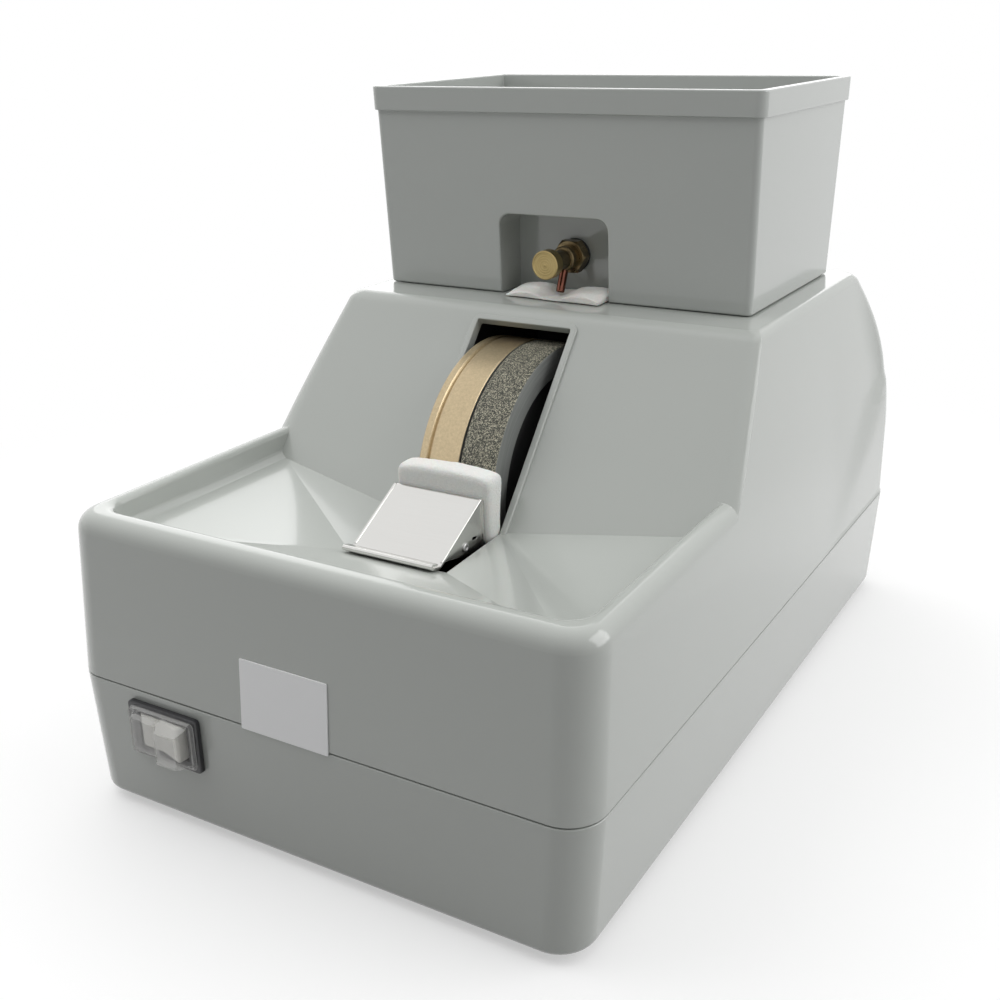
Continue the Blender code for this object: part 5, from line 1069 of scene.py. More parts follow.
def basin_ring(height, wider, spread, drop, rear_shift):
    height -= drop
    half = side_x(SLOPE_FOOT_Y, RIM_HEIGHT) - RAIL_WIDTH + wider + spread
    front = front_y(RIM_HEIGHT) + FRONT_RAIL_WIDTH - wider - spread
    rear = slope_y(height) + rear_shift
    radius = BASIN_CORNER + wider + spread
    x, y = half - radius, front + radius
    points = arc(-x, y, radius, 180) + arc(x, y, radius, 270) + [(half, rear), (-half, rear)]
    return [Vector((x, y, height)) for x, y in points]


def basin_cutter(name, spread, drop, rear_shift):
    """The space of the hopper: upright walls, a sloping strip and a floor folded down to the mouth."""
    rings = [basin_ring(height, wider, spread, drop, rear_shift) for height, wider in basin_levels()]
    shape = bmesh.new()
    rows = [[shape.verts.new(point) for point in ring] for ring in rings]
    for upper, lower in zip(rows, rows[1:]):
        band(shape, lower, upper)
    shape.faces.new(rows[0])
    rear_height, front_height = MOUTH_REAR_HEIGHT - drop, MOUTH_FRONT_HEIGHT - drop
    rear = slope_y(rear_height) + rear_shift
    front_left = shape.verts.new((SLOT_LEFT, MOUTH_FRONT_Y, front_height))
    front_right = shape.verts.new((SLOT_RIGHT, MOUTH_FRONT_Y, front_height))
    rear_right = shape.verts.new((SLOT_RIGHT, rear, rear_height))
    rear_left = shape.verts.new((SLOT_LEFT, rear, rear_height))
    floor = rows[-1]
    left_arc, right_arc = floor[: CORNER_STEPS + 1], floor[CORNER_STEPS + 1 : 2 * CORNER_STEPS + 2]
    rear_right_corner, rear_left_corner = floor[-2], floor[-1]
    for a, b in zip([rear_left_corner] + left_arc, left_arc):
        shape.faces.new((a, b, front_left))
    shape.faces.new((left_arc[-1], right_arc[0], front_right, front_left))
    for a, b in zip(right_arc, right_arc[1:] + [rear_right_corner]):
        shape.faces.new((a, b, rear_right))
    shape.faces.new((right_arc[0], rear_right, front_right))
    shape.faces.new((rear_right_corner, rear_left_corner, rear_left, rear_right))
    shape.faces.new((rear_left_corner, front_left, rear_left))
    shape.faces.new((front_left, front_right, rear_right, rear_left))
    return from_shape(name, shape)


def corner_post_places():
    """Centres of the four posts, tucked into the casing's inner corners."""
    reach = (CORNER_RADIUS - WALL - POST_RADIUS + POST_BITE) * math.sqrt(0.5)
    x = HALF_WIDTH - TRAY_SIDE_DRAFT - CORNER_RADIUS + reach
    y = HALF_DEPTH - TRAY_BACK_DRAFT - CORNER_RADIUS + reach
    return [(x * i, y * k) for i in (-1, 1) for k in (-1, 1)]


def even_rows(low, high, count):
    return [(low + (high - low) * i / count, 0) for i in range(count + 1)]


def upper_cover(settings):
    """The cover, as one moulding with its hopper, slope, platform and slot."""
    cover = skinned("cover_moulding", block_rings(0, RIM_HEIGHT, RIM_ROUND, settings.seam_edge))
    bottom, shoulder = RIM_HEIGHT - 2 * RIM_ROUND, RIM_HEIGHT - RIM_ROUND
    rows = [(bottom, CAVITY_FLUSH), (shoulder - 1 * MM, CAVITY_FLUSH / 2)]
    rows += even_rows(shoulder, PLATFORM_HEIGHT - PLATFORM_ROUND, HUMP_ROWS)
    hump = skinned("hump", hump_rings(0, 0, PLATFORM_HEIGHT, PLATFORM_ROUND, rows))
    carve(cover, hump, operation="UNION")
    cavity = skinned("cavity", block_rings(WALL, RIM_HEIGHT - WALL, 0))
    top = PLATFORM_HEIGHT - WALL
    rows = even_rows(bottom, top, ROUND_STEPS)
    inner = skinned("hump_cavity", hump_rings(WALL + CAVITY_FLUSH, WALL_RUN, top, 0, rows))
    carve(cavity, inner, operation="UNION")
    carve(cavity, basin_cutter("basin_skin", WALL, WALL, WALL_RUN + CAVITY_FLUSH))
    slot_top = Vector((0, slope_y(SLOT_TOP_HEIGHT), SLOT_TOP_HEIGHT))
    outer = slot_top + SLOPE_NORMAL * OVERRUN
    deep = slot_top - SLOPE_NORMAL * (WALL + OVERRUN)
    low = MOUTH_FRONT_HEIGHT - WALL - OVERRUN
    outline = [(MOUTH_FRONT_Y, low), (MOUTH_FRONT_Y, RIM_HEIGHT), (outer.y, outer.z), (deep.y, deep.z),
               (deep.y, low)]
    slot = drawn_out("slot_cut", outline, SLOT_LEFT, SLOT_RIGHT)
    slot_y = (TANK_FRONT_Y + NICHE_BACK_Y - DRIP_SLOT_DEPTH) / 2
    slot_x = (NICHE_LEFT + NICHE_RIGHT - DRIP_SLOT_WIDTH) / 2
    drip = block("drip_cut", (slot_x, slot_y, PLATFORM_HEIGHT - WALL - OVERRUN),
                 (slot_x + DRIP_SLOT_WIDTH, slot_y + DRIP_SLOT_DEPTH, PLATFORM_HEIGHT + OVERRUN))
    carve(cover, basin_cutter("basin", 0, 0, -COVER_FLUSH), cavity, slot, drip)
    placed(tidied(cover), "casing", "casing plastic", "casing", "upper_cover")


def slot_bead(settings):
    """Raised, rounded bead round the sides and top of the wheel slot, lining the cut through the wall."""
    width, height = settings.bead_width, settings.bead_height
    outline = [(-BEAD_LINING, -WALL), (-BEAD_LINING, height), (width, height), (width, -height)]
    profile = rounded(outline, [0, 0.45 * height, 0.6 * height, 0], 5)
    foot = Vector((0, SLOPE_FOOT_Y, RIM_HEIGHT))
    low = (MOUTH_REAR_HEIGHT - BEAD_DROP - RIM_HEIGHT) / SLOPE_UP.z
    top = (SLOT_TOP_HEIGHT - RIM_HEIGHT) / SLOPE_UP.z
    middle = (low + top) / 2
    stations = [((SLOT_LEFT, low), (-1, 0)), ((SLOT_LEFT, middle), (-1, 0))]
    for x, start in ((SLOT_LEFT + BEAD_CORNER, 180), (SLOT_RIGHT - BEAD_CORNER, 90)):
        for step in range(BEAD_STEPS + 1):
            a = math.radians(start - 90 * step / BEAD_STEPS)
            right, up = math.cos(a), math.sin(a)
            spot = (x + BEAD_CORNER * right, top - BEAD_CORNER + BEAD_CORNER * up)
            stations.append((spot, (right, up)))
    stations += [((SLOT_RIGHT, middle), (1, 0)), ((SLOT_RIGHT, low), (1, 0))]
    rings = []
    for (x, rise), (right, up) in stations:
        ring = []
        for across, out in profile:
            flat = Vector((x + right * across, foot.y, foot.z))
            ring.append(flat + SLOPE_UP * (rise + up * across) + SLOPE_NORMAL * out)
        rings.append(ring)
    placed(skinned("slot_bead", rings), "casing", "casing plastic", "casing")


# Tray, feet and plug


def tray_ring(height, inset):
    """A ring of the tray, which narrows towards the ground."""
    share = (SEAM_HEIGHT - height) / (SEAM_HEIGHT - FOOT_HEIGHT)
    half = HALF_WIDTH - TRAY_SIDE_DRAFT * share - inset
    back = HALF_DEPTH - TRAY_BACK_DRAFT * share - inset
    return plan_ring(half, -HALF_DEPTH + inset, back, max(CORNER_RADIUS - inset, STACK_GAP), height)


def lower_tray(settings):
    """The tray, with the tongue that the cover sits on, its screw wells and its windows."""
    edge, top = settings.seam_edge, SEAM_HEIGHT - SEAM_REVEAL
    ceiling = SEAM_HEIGHT + TONGUE_HEIGHT + OVERRUN
    tongue = WALL + GAP + BELT_LEAN
    rings = [tray_ring(FOOT_HEIGHT + TRAY_EDGE_RADIUS * less, TRAY_EDGE_RADIUS * more)
             for less, more in quarter(ROUND_STEPS)]
    rings += [tray_ring(top - edge * more, edge * less) for less, more in quarter(ROUND_STEPS // 2)]
    rings += [tray_ring(top, tongue), tray_ring(top + TONGUE_HEIGHT, tongue + BELT_LEAN / 2)]
    tray = skinned("tray_moulding", rings)
    thick = tongue + TONGUE_THICKNESS
    inside = ((TRAY_FLOOR, TRAY_EDGE_RADIUS), (TRAY_FLOOR + WALL, WALL), (SEAM_HEIGHT - 3 * WALL, WALL),
              (SEAM_HEIGHT - 2 * WALL, thick), (ceiling, thick))
    carve(tray, skinned("tray_cavity", [tray_ring(height, inset) for height, inset in inside]))
    wide, narrow = SCREW_HEAD_RADIUS + GAP, SCREW_RADIUS + GAP
    well = [(0, ceiling), (narrow, ceiling), (narrow, SCREW_SEAT_HEIGHT), (wide, SCREW_SEAT_HEIGHT),
            (wide, FOOT_HEIGHT + 0.5 * MM), (wide + WELL_FLARE, FOOT_HEIGHT - GAP),
            (wide + WELL_FLARE, -OVERRUN), (0, -OVERRUN)]
    rise = top + TONGUE_HEIGHT - TRAY_FLOOR
    posts, wells = [], []
    for x, y in corner_post_places():
        posts.append(rod("post", POST_RADIUS, -WALL / 2, rise, (x, y, TRAY_FLOOR), "Z", BORE_SIDES))
        wells.append(turned("well", well, (x, y, 0), "Z", BORE_SIDES))
    carve(tray, *posts, operation="UNION")
    switch = window("switch_cut", SWITCH_X, SWITCH_Z, SWITCH_BODY.x / 2 + GAP, SWITCH_BODY.z / 2 + GAP,
                    -HALF_DEPTH - OVERRUN, -HALF_DEPTH + WALL + OVERRUN)
    inlet = window("inlet_cut", INLET_X, INLET_Z, INLET_SIZE.x / 2 + GAP, INLET_SIZE.z / 2 + GAP,
                   HALF_DEPTH - WALL - TRAY_BACK_DRAFT - OVERRUN, HALF_DEPTH + OVERRUN)
    hole = rod("drain_cut", DRAIN_RADIUS + GAP, -OVERRUN, TRAY_FLOOR + OVERRUN, (DRAIN_X, DRAIN_Y, 0), "Z")
    carve(tray, *wells, switch, inlet, hole)
    placed(tidied(tray), "casing", "casing plastic", "casing", "lower_tray")


def feet_and_plug():
    """Four rubber feet with a hollow sole, and the drain's rubber plug."""
    top, radius, hollow = FOOT_HEIGHT - STACK_GAP, FOOT_RADIUS, 0.6 * MM
    section = [(0, hollow), (radius * 0.5, hollow), (radius * 0.58, 0), (radius * 0.92, 0), (radius, top),
               (0, top)]
    profile = rounded(section, mm(0, 0.4, 0.5, 0.8, 0.3, 0), close=False)
    for end, y in (("front_", FOOT_INSET - HALF_DEPTH), ("rear_", HALF_DEPTH - FOOT_INSET)):
        for side, x in (("left", FOOT_INSET - HALF_WIDTH), ("right", HALF_WIDTH - FOOT_INSET)):
            foot = turned("rubber_foot_" + end + side, profile, (x, y, 0), "Z")
            placed(foot, "casing", "rubber", "rubber", "foot_" + end + side)
    head, bore, radius = FOOT_HEIGHT - 1.6 * MM, DRAIN_BORE - GAP, DRAIN_RADIUS
    dimple = head + 0.8 * MM
    section = [(0, PLUG_HEIGHT), (bore, PLUG_HEIGHT), (bore, FOOT_HEIGHT), (radius, FOOT_HEIGHT),
               (radius, head), (radius * 0.55, head), (radius * 0.45, dimple), (0, dimple)]
    profile = rounded(section, mm(0, 1, 0, 0.3, 0.4, 0.3, 0.3, 0), close=False)
    plug = turned("rubber_plug", profile, (DRAIN_X, DRAIN_Y, 0), "Z")
    placed(plug, "casing", "rubber", "rubber", "drain_plug")


# Water tank


def tank_front(height):
    return TANK_FRONT_Y - TANK_FRONT_FLARE * (height - TANK_BASE) / (TANK_TOP - TANK_BASE)


def tank_ring(height, inset):
    share = (height - TANK_BASE) / (TANK_TOP - TANK_BASE)
    front = tank_front(height) + inset
    back = TANK_BACK_Y + TANK_BACK_FLARE * share - inset
    half = TANK_HALF_WIDTH + TANK_SIDE_FLARE * share - inset
    ring = plan_ring(half, front, back, max(TANK_CORNER - inset, 0.6 * MM), height)
    return [point + Vector((TANK_X, 0, 0)) for point in ring]


def arch(spread, bottom):
    """Outline of the tap's recess seen from the front: upright sides and rounded upper corners."""
    left, right = NICHE_LEFT - spread, NICHE_RIGHT + spread
    radius = NICHE_CORNER + spread
    middle = NICHE_TOP + spread - radius
    corners = arc(right - radius, middle, radius, 0) + arc(left + radius, middle, radius, 90)
    return [(left, bottom), (right, bottom)] + corners


def water_tank(settings):
    """The open tank, with its lip band and the recess for the tap."""
    band, proud = TANK_TOP - settings.lip_height, settings.lip_proud
    edge, rim, foot, tuck = mm(1, 0.7, 3, 0.4)
    floor = TANK_BASE + TANK_WALL
    turn = quarter(EDGE_STEPS)
    rows = [(TANK_BASE + edge * less, edge * more) for less, more in turn]
    rows += [(TANK_BASE + (band - TANK_BASE) * share, 0) for share in (0.25, 0.5, 0.75)]
    rows += [(band - 0.35 * MM, 0), (band - 0.1 * MM, -0.1 * MM), (band, -0.35 * MM)]
    rows += [(band + tuck * less, -proud + tuck * more) for less, more in quarter(4)]
    rows += [(TANK_TOP - rim * more, -proud + rim * less) for less, more in turn]
    rows += [(TANK_TOP - rim * less, TANK_WALL - rim * more) for less, more in turn]
    rows += [(floor + foot * more, TANK_WALL + foot * less) for less, more in turn]
    tank = skinned("tank_moulding", [tank_ring(height, inset) for height, inset in rows])
    skin = drawn_out("recess_skin", arch(TANK_WALL, TANK_BASE + 0.6 * MM), -NICHE_BACK_Y - TANK_WALL,
                     -TANK_FRONT_Y - 0.9 * MM, "Y")
    carve(tank, skin, operation="UNION")
    bottom, flare = TANK_BASE - OVERRUN, 0.7 * MM
    rings = []
    for less, more in [(-1, 1)] + turn:
        away = OVERRUN * less if less < 0 else flare * less
        rings.append([Vector((x, tank_front(z) + away, z)) for x, z in arch(flare * more, bottom)])
    rings.append([Vector((x, NICHE_BACK_Y, z)) for x, z in arch(0, bottom)])
    bore = rod("tap_cut", TAP_BORE, -TANK_WALL - OVERRUN, OVERRUN, TAP, "Y")
    carve(tank, skinned("recess", rings), bore)
    placed(tidied(tank), "tank", "tank plastic", "tank", "water_tank")


# Wheels


def wheel(name, width, x, settings, groove):
    """A turned wheel whose rim edges are rounded, with its V groove, or else a dished outer side."""
    rim, bore = WHEEL_RADIUS, SPINDLE_RADIUS
    corners = [(bore, 0, WHEEL_EYE_ROUND), (rim, 0, WHEEL_EDGE_ROUND)]
    if groove:
        half = settings.groove_width / 2
        middle = settings.groove_setback + half
        corners += [(rim, middle - half, 0.15 * MM), (rim - settings.groove_depth, middle, 0.25 * MM),
                    (rim, middle + half, 0.15 * MM)]
    corners.append((rim, width, WHEEL_EDGE_ROUND))
    if not groove:
        low = width - DISH_DEPTH
        corners += [(rim - DISH_RIM, width, DISH_ROUND), (rim - DISH_RIM - DISH_DEPTH, low, DISH_ROUND),
                    (DISH_HUB + DISH_DEPTH, low, DISH_ROUND), (DISH_HUB, width, DISH_ROUND)]
    corners.append((bore, width, WHEEL_EYE_ROUND))
    profile = rounded([corner[:2] for corner in corners], [corner[2] for corner in corners])
    return turned(name, profile, SPINDLE + Vector((x, 0, 0)), "X", WHEEL_SIDES, close=True)


def side_finish(obj, side_name, dish_shade_finish=None):
    """Gives the flat sides of a turned piece a second finish, and what lies inside its rim a third, which on
    the roughing wheel is near-black rubber as painted shade.
    """
    obj.data.materials.append(finish(side_name))
    if dish_shade_finish:
        obj.data.materials.append(finish(dish_shade_finish))
    for face in obj.data.polygons:
        inside = Vector((face.center.x, face.center.y, 0)).length < WHEEL_RADIUS - DISH_RIM
        if dish_shade_finish and inside:
            face.material_index = 2
        elif abs(face.normal.z) > 0.95:
            face.material_index = 1


def wheels(settings):
    """Roughing wheel, dark spacer and finishing wheel, from right to left."""
    x = WHEEL_RIGHT - COARSE_WIDTH
    coarse = placed(wheel("roughing_wheel", COARSE_WIDTH, x, settings, False),
                    "spindle", "coarse grit", "coarse_grit", "coarse_wheel")
    # The dish inside the roughing wheel's rim gets near-black rubber: painted shade for the deep slot.
    side_finish(coarse, "wheel side", "rubber")
    x -= SPACER_WIDTH
    radii = (SPINDLE_RADIUS, WHEEL_RADIUS - SPACER_INSET)
    spacer = sleeve("dark_spacer", radii, (STACK_GAP, SPACER_WIDTH - STACK_GAP), 0.15 * MM, 2,
                    SPINDLE + Vector((x, 0, 0)), "X", WHEEL_SIDES)
    placed(spacer, "spindle", "rubber", "rubber", "wheel_spacer")
    x -= FINE_WIDTH
    fine = placed(wheel("finishing_wheel", FINE_WIDTH, x, settings, True),
                  "spindle", "fine bond", "fine_bond", "fine_wheel")
    side_finish(fine, "wheel side")


# Bracket


def bracket_section(sheet):
    """Middle line of the folded sheet, from the hem at the front to the shelf under the sponge."""
    base = Vector((BRACKET_BASE_Y, BRACKET_SEAT))
    floor_front = front_y(RIM_HEIGHT) + FRONT_RAIL_WIDTH + BASIN_WALL_DRAFT + STRIP_WIDTH
    rise = (FLOOR_HEIGHT - MOUTH_FRONT_HEIGHT) / (MOUTH_FRONT_Y - floor_front)
    lip = Vector((BRACKET_LIP_Y, BRACKET_SEAT + (MOUTH_FRONT_Y - BRACKET_LIP_Y) * rise + GAP))
    along = (base - lip).normalized()
    up = Vector((along.y * -1, along.x))
    near, bend = lip + along * 0.9 * sheet, lip - along * 0.5 * sheet
    raised = up * 1.7 * sheet
    corners = [near + raised, bend + raised, bend, near]
    fold = rounded(corners, [0, 0.85 * sheet, 0.85 * sheet, 0], close=False)
    body = [near, base, (BRACKET_TOP_Y, BRACKET_TOP_HEIGHT), (BRACKET_TOP_Y, BRACKET_SHELF_HEIGHT),
            (BRACKET_SHELF_Y, BRACKET_SHELF_HEIGHT)]
    bent = rounded(body, mm(0, 1.2, 0.9, 0.8, 0), 5, False)
    return [lip + along * 3 * MM + raised] + fold + bent[1:]


def bracket_cheek(name, edge, inward, sheet):
    """A side tab of the bracket, with the screw's hole and a slanting slot."""
    low, top = BRACKET_SHELF_HEIGHT, BRACKET_TOP_HEIGHT - 1.2 * MM
    back = BRACKET_TOP_Y - 0.3 * MM
    tab = rounded([(BRACKET_BASE_Y + 2.2 * MM, BRACKET_SEAT + 0.9 * MM), (back, top), (back, low)],
                  mm(0.6, 0.6, 1.2))
    near, far = edge + inward * CHEEK_INSET, edge + inward * (CHEEK_INSET + sheet)
    cheek = drawn_out("bracket_tab_" + name, tab, min(near, far), max(near, far))
    turn = Matrix.Rotation(CHEEK_SLOT_TURN, 2)
    middle = Vector((BRACKET_SCREW_Y + 6.5 * MM, BRACKET_SCREW_Z + 1.4 * MM))
    slot = [turn @ point + middle for point in rounded(rectangle(*CHEEK_SLOT), CHEEK_SLOT[1], 3)]
    spot = (edge, BRACKET_SCREW_Y, BRACKET_SCREW_Z)
    carve(cheek, rod("hole", CHEEK_HOLE, -OVERRUN, OVERRUN, spot, "X", BORE_SIDES),
          drawn_out("slot", slot, edge - OVERRUN, edge + OVERRUN))
    return softened(cheek, 0.14 * MM)


def sponge_bracket(settings):
    """Folded stainless sheet with narrow hems along its sides, two side tabs and their screws."""
    sheet = settings.sheet
    outline = strip_outline(bracket_section(sheet), sheet)
    plate = drawn_out("bracket_plate", outline, BRACKET_LEFT, BRACKET_RIGHT)
    pieces = [softened(plate, 0.16 * MM, 2, math.radians(50))]
    foot, crest = Vector((BRACKET_BASE_Y, BRACKET_SEAT)), Vector((BRACKET_TOP_Y, BRACKET_TOP_HEIGHT))
    along = (crest - foot).normalized()
    lift = Vector((-along.y, along.x)) * HEM_RISE
    fold = strip_outline([foot + along * 2 * MM + lift, crest - along * 1 * MM + lift], sheet)
    for name, edge, inward in BRACKET_SIDES:
        near, far = edge, edge + inward * HEM_WIDTH
        hem = drawn_out("bracket_hem_" + name, fold, min(near, far), max(near, far))
        pieces += [softened(hem, 0.25 * MM, 3), bracket_cheek(name, edge, inward, sheet)]
    bracket = joined("folded_bracket", pieces)
    placed(bracket, "bracket", "stainless", "stainless", "sponge_bracket")
    head, recess, shank = mm(0.55, 0.25, -2.2)
    section = [(0, recess), (0.75 * MM, recess), (0.75 * MM, head), (1.75 * MM, head), (1.9 * MM, 0),
               (0.95 * MM, 0), (0.95 * MM, shank), (0, shank)]
    profile = rounded(section, mm(0, 0.1, 0.12, 0.35, 0.1, 0, 0.2, 0), close=False)
    for name, edge, inward in BRACKET_SIDES:
        outward = [(radius, along * -inward) for radius, along in profile]
        spot = (edge + inward * 0.45 * MM, BRACKET_SCREW_Y, BRACKET_SCREW_Z)
        screw = turned("tab_screw_" + name, outward, spot, "X", 40)
        placed(screw, "bracket", "steel", "stainless", "bracket_screw_" + name)


# Foam


def foam_cage(name, low, high, counts, shape_point, levels):
    """A soft block: a coarse cage whose points shape_point moves, rounded by subdivision."""
    low, high = Vector(low), Vector(high)
    size = high - low
    shape = bmesh.new()
    bmesh.ops.create_cube(shape, size=1)
    bmesh.ops.scale(shape, vec=size, verts=shape.verts)
    bmesh.ops.translate(shape, vec=(low + high) / 2, verts=shape.verts)
    for axis, count in enumerate(counts):
        normal = Vector((axis == 0, axis == 1, axis == 2))
        for step in range(1, count):
            everything = shape.verts[:] + shape.edges[:] + shape.faces[:]
            place = low + size * (step / count)
            bmesh.ops.bisect_plane(shape, geom=everything, dist=MERGE, plane_co=place, plane_no=normal)
    for vert in shape.verts:
        spot = vert.co - low
        vert.co = shape_point(vert.co.copy(), Vector((spot.x / size.x, spot.y / size.y, spot.z / size.z)))
    obj = from_shape(name, shape)
    modify(obj, "soften", "SUBSURF", levels=levels, render_levels=levels)
    bpy.context.view_layer.update()
    return baked(obj)


def sponge(settings):
    """The sponge behind the bracket: full at its front edge, hollowed to the wheels' rim at its back."""
    low = (SLOT_LEFT + SPONGE_SIDE_GAP, BRACKET_TOP_Y + SPONGE_GAP, BRACKET_SHELF_HEIGHT + SPONGE_GAP)
    reach = WHEEL_RADIUS + GAP
    crest = SPINDLE_Y - math.sqrt(reach ** 2 - (SPONGE_TOP - SPINDLE_Z) ** 2)
    high = (SLOT_RIGHT - SPONGE_SIDE_GAP, crest, SPONGE_TOP + 0.5 * MM)

    def crowned(spot, share):
        drop = settings.sponge_crown * (2 * share.x - 1) ** 2 * share.z
        return Vector((spot.x, spot.y - SPONGE_LEAN * share.z * (1 - share.y), spot.z - drop))

    foam = foam_cage("wheel_sponge", low, high, (8, 2, 5), crowned, 3)
    for vert in foam.data.vertices:
        spot = vert.co
        wobble = noise.noise(spot * 160) * 0.25 * MM + noise.noise(spot * 520) * 0.1 * MM
        spot.z += wobble * (1 if spot.z > BRACKET_TOP_HEIGHT else 0.3)
        above = max(spot.z - SPINDLE_Z, 0)
        rim = SPINDLE_Y - math.sqrt(max(reach ** 2 - above ** 2, 0))
        spot.y = min(spot.y, rim - 0.05 * MM)
        spot.y = max(spot.y, BRACKET_TOP_Y + 0.5 * MM)
    placed(foam, "sponge", "sponge foam", "foam", "sponge")


def pad_drop(x, share, settings):
    """How far the drip pad's top lies below its highest puff: pinched under the tap, lower at its edges."""
    off = (x - TAP_X) / PAD_PINCH_REACH
    pinch = settings.pad_pinch * math.exp(-off * off)
    edge = max(0, abs(2 * share.x - 1) - 0.7) / 0.3
    behind = max(0, share.y - 0.6) / 0.4
    flap = PAD_FLAP_DROP * max(0, 1 - share.x / 0.3) * (1 - share.y)
    drop = max(pinch, PAD_EDGE_DROP * edge * edge) + PAD_EDGE_DROP * (1 - share.y) ** 2
    drop += PAD_BACK_DROP * behind + flap
    return min(drop, PAD_HEIGHT - PAD_LEAST_HEIGHT)


def drip_pad(settings):
    """Folded foam under the tap: two puffs with a pinch between them and a flatter flap at the left."""
    base = PLATFORM_HEIGHT + GAP
    low = (NICHE_LEFT + PAD_LEFT_GAP, TANK_FRONT_Y - PAD_FORWARD, base)
    high = (NICHE_RIGHT - PAD_SIDE_GAP, NICHE_BACK_Y - PAD_SIDE_GAP, base + PAD_HEIGHT)

    def puffed(spot, share):
        lobe = PAD_LOBE * (1 - share.x) * (1 - share.y)
        return Vector((spot.x, spot.y + lobe, spot.z - pad_drop(spot.x, share, settings) * share.z))

    foam = foam_cage("folded_drip_pad", low, high, (24, 8, 3), puffed, 2)
    for vert in foam.data.vertices:
        spot = vert.co
        lift = min(1, (spot.z - base) / (1.5 * MM))
        fold = noise.noise(Vector((spot.x * 130, spot.y * 260, 1.7))) * 0.55 * MM
        spot.z += lift * (fold + noise.noise(spot * 700) * 0.12 * MM)
        spot.y += lift * noise.noise(spot * 240 + Vector((5, 0, 0))) * 0.35 * MM
        spot.z = min(max(spot.z, base), base + PAD_HEIGHT)
    placed(foam, "casing", "pad foam", "foam", "drip_pad")


# Mains switch, plate and inlet


def switch_frame():
    """Black frame round the rocker, with the switch's body behind the tray's wall."""
    rows = [(0, GAP)] + [(FRAME_ROUND * less, SWITCH_PROUD - FRAME_ROUND * more) for less, more in quarter(5)]
    rings = []
    for inset, proud in rows:
        outline = rectangle(SWITCH_WIDTH / 2 - inset, SWITCH_HEIGHT / 2 - inset)
        outline = rounded(outline, max(FRAME_CORNER - inset, 0.4 * MM), 6)
        rings.append([Vector((SWITCH.x + x, SWITCH.y - proud, SWITCH.z + z)) for x, z in outline])
    housing = skinned("switch_frame", rings)
    body = window("body", SWITCH.x, SWITCH.z, SWITCH_BODY.x / 2, SWITCH_BODY.z / 2,
                  SWITCH.y - SWITCH_PROUD / 2, SWITCH.y + SWITCH_BODY.y)
    carve(housing, body, operation="UNION")
    depth = ROCKER_PIVOT_DEPTH + ROCKER_KEEL + ROCKER_WIDTH / 2 * math.sin(2 * ROCKER_TILT) + GAP
    carve(housing, window("well", SWITCH.x, SWITCH.z, ROCKER_WIDTH / 2 + 1.3 * MM, ROCKER_HEIGHT / 2 + GAP,
                          SWITCH.y - OVERRUN, SWITCH.y + depth))
    placed(housing, "casing", "black plastic", "black_plastic", "switch_housing")


def rocker():
    """White rocker tipped to one side, with a scooped face between its two lobes."""
    half, rise = ROCKER_WIDTH / 2, ROCKER_PIVOT_DEPTH + ROCKER_CROWN
    valley = rise - half * math.sin(ROCKER_TILT)
    outline = [(-half, 0), (-half, -rise), (0, -valley), (half, -rise), (half, 0), (0, ROCKER_KEEL)]
    tipped = Matrix.Rotation(-ROCKER_TILT, 2)
    outline = [tipped @ point for point in rounded(outline, mm(0, 1.1, 14, 1.1, 0, 0), 6)]
    pivot = SWITCH + Vector((0, ROCKER_PIVOT_DEPTH, 0))
    obj = drawn_out("tipping_rocker", outline, -ROCKER_HEIGHT / 2, ROCKER_HEIGHT / 2, "Z", pivot)
    softened(obj, 0.45 * MM, 3, math.radians(45))
    placed(obj, "rocker", "rocker plastic", "rocker", "switch_rocker")


def boot_rise(x, z, half_w, half_h):
    """How far the clear boot stands out: a rimmed flange, a low lobe at the left, a high one at the right."""
    margin = min(half_w - abs(x), half_h - abs(z))
    rim = 0.5 * MM * math.exp(-((margin - 0.7 * MM) / (0.45 * MM)) ** 2)
    up = soft((margin - 1.5 * MM) / (3.1 * MM - 1.5 * MM))
    right = soft((x - 0.2 * MM) / (3 * MM - 0.2 * MM))
    left_rise = 2.7 * MM + 0.5 * MM * soft((x + half_w) / half_w)
    right_rise = 6.0 * MM + 0.3 * MM * math.cos((x - 5 * MM) / (4 * MM))
    valley = 0.5 * MM * math.exp(-((x - 0.4 * MM) / (1.1 * MM)) ** 2)
    return BOOT_FLANGE + rim + up * (left_rise + (right_rise - left_rise) * right - valley)


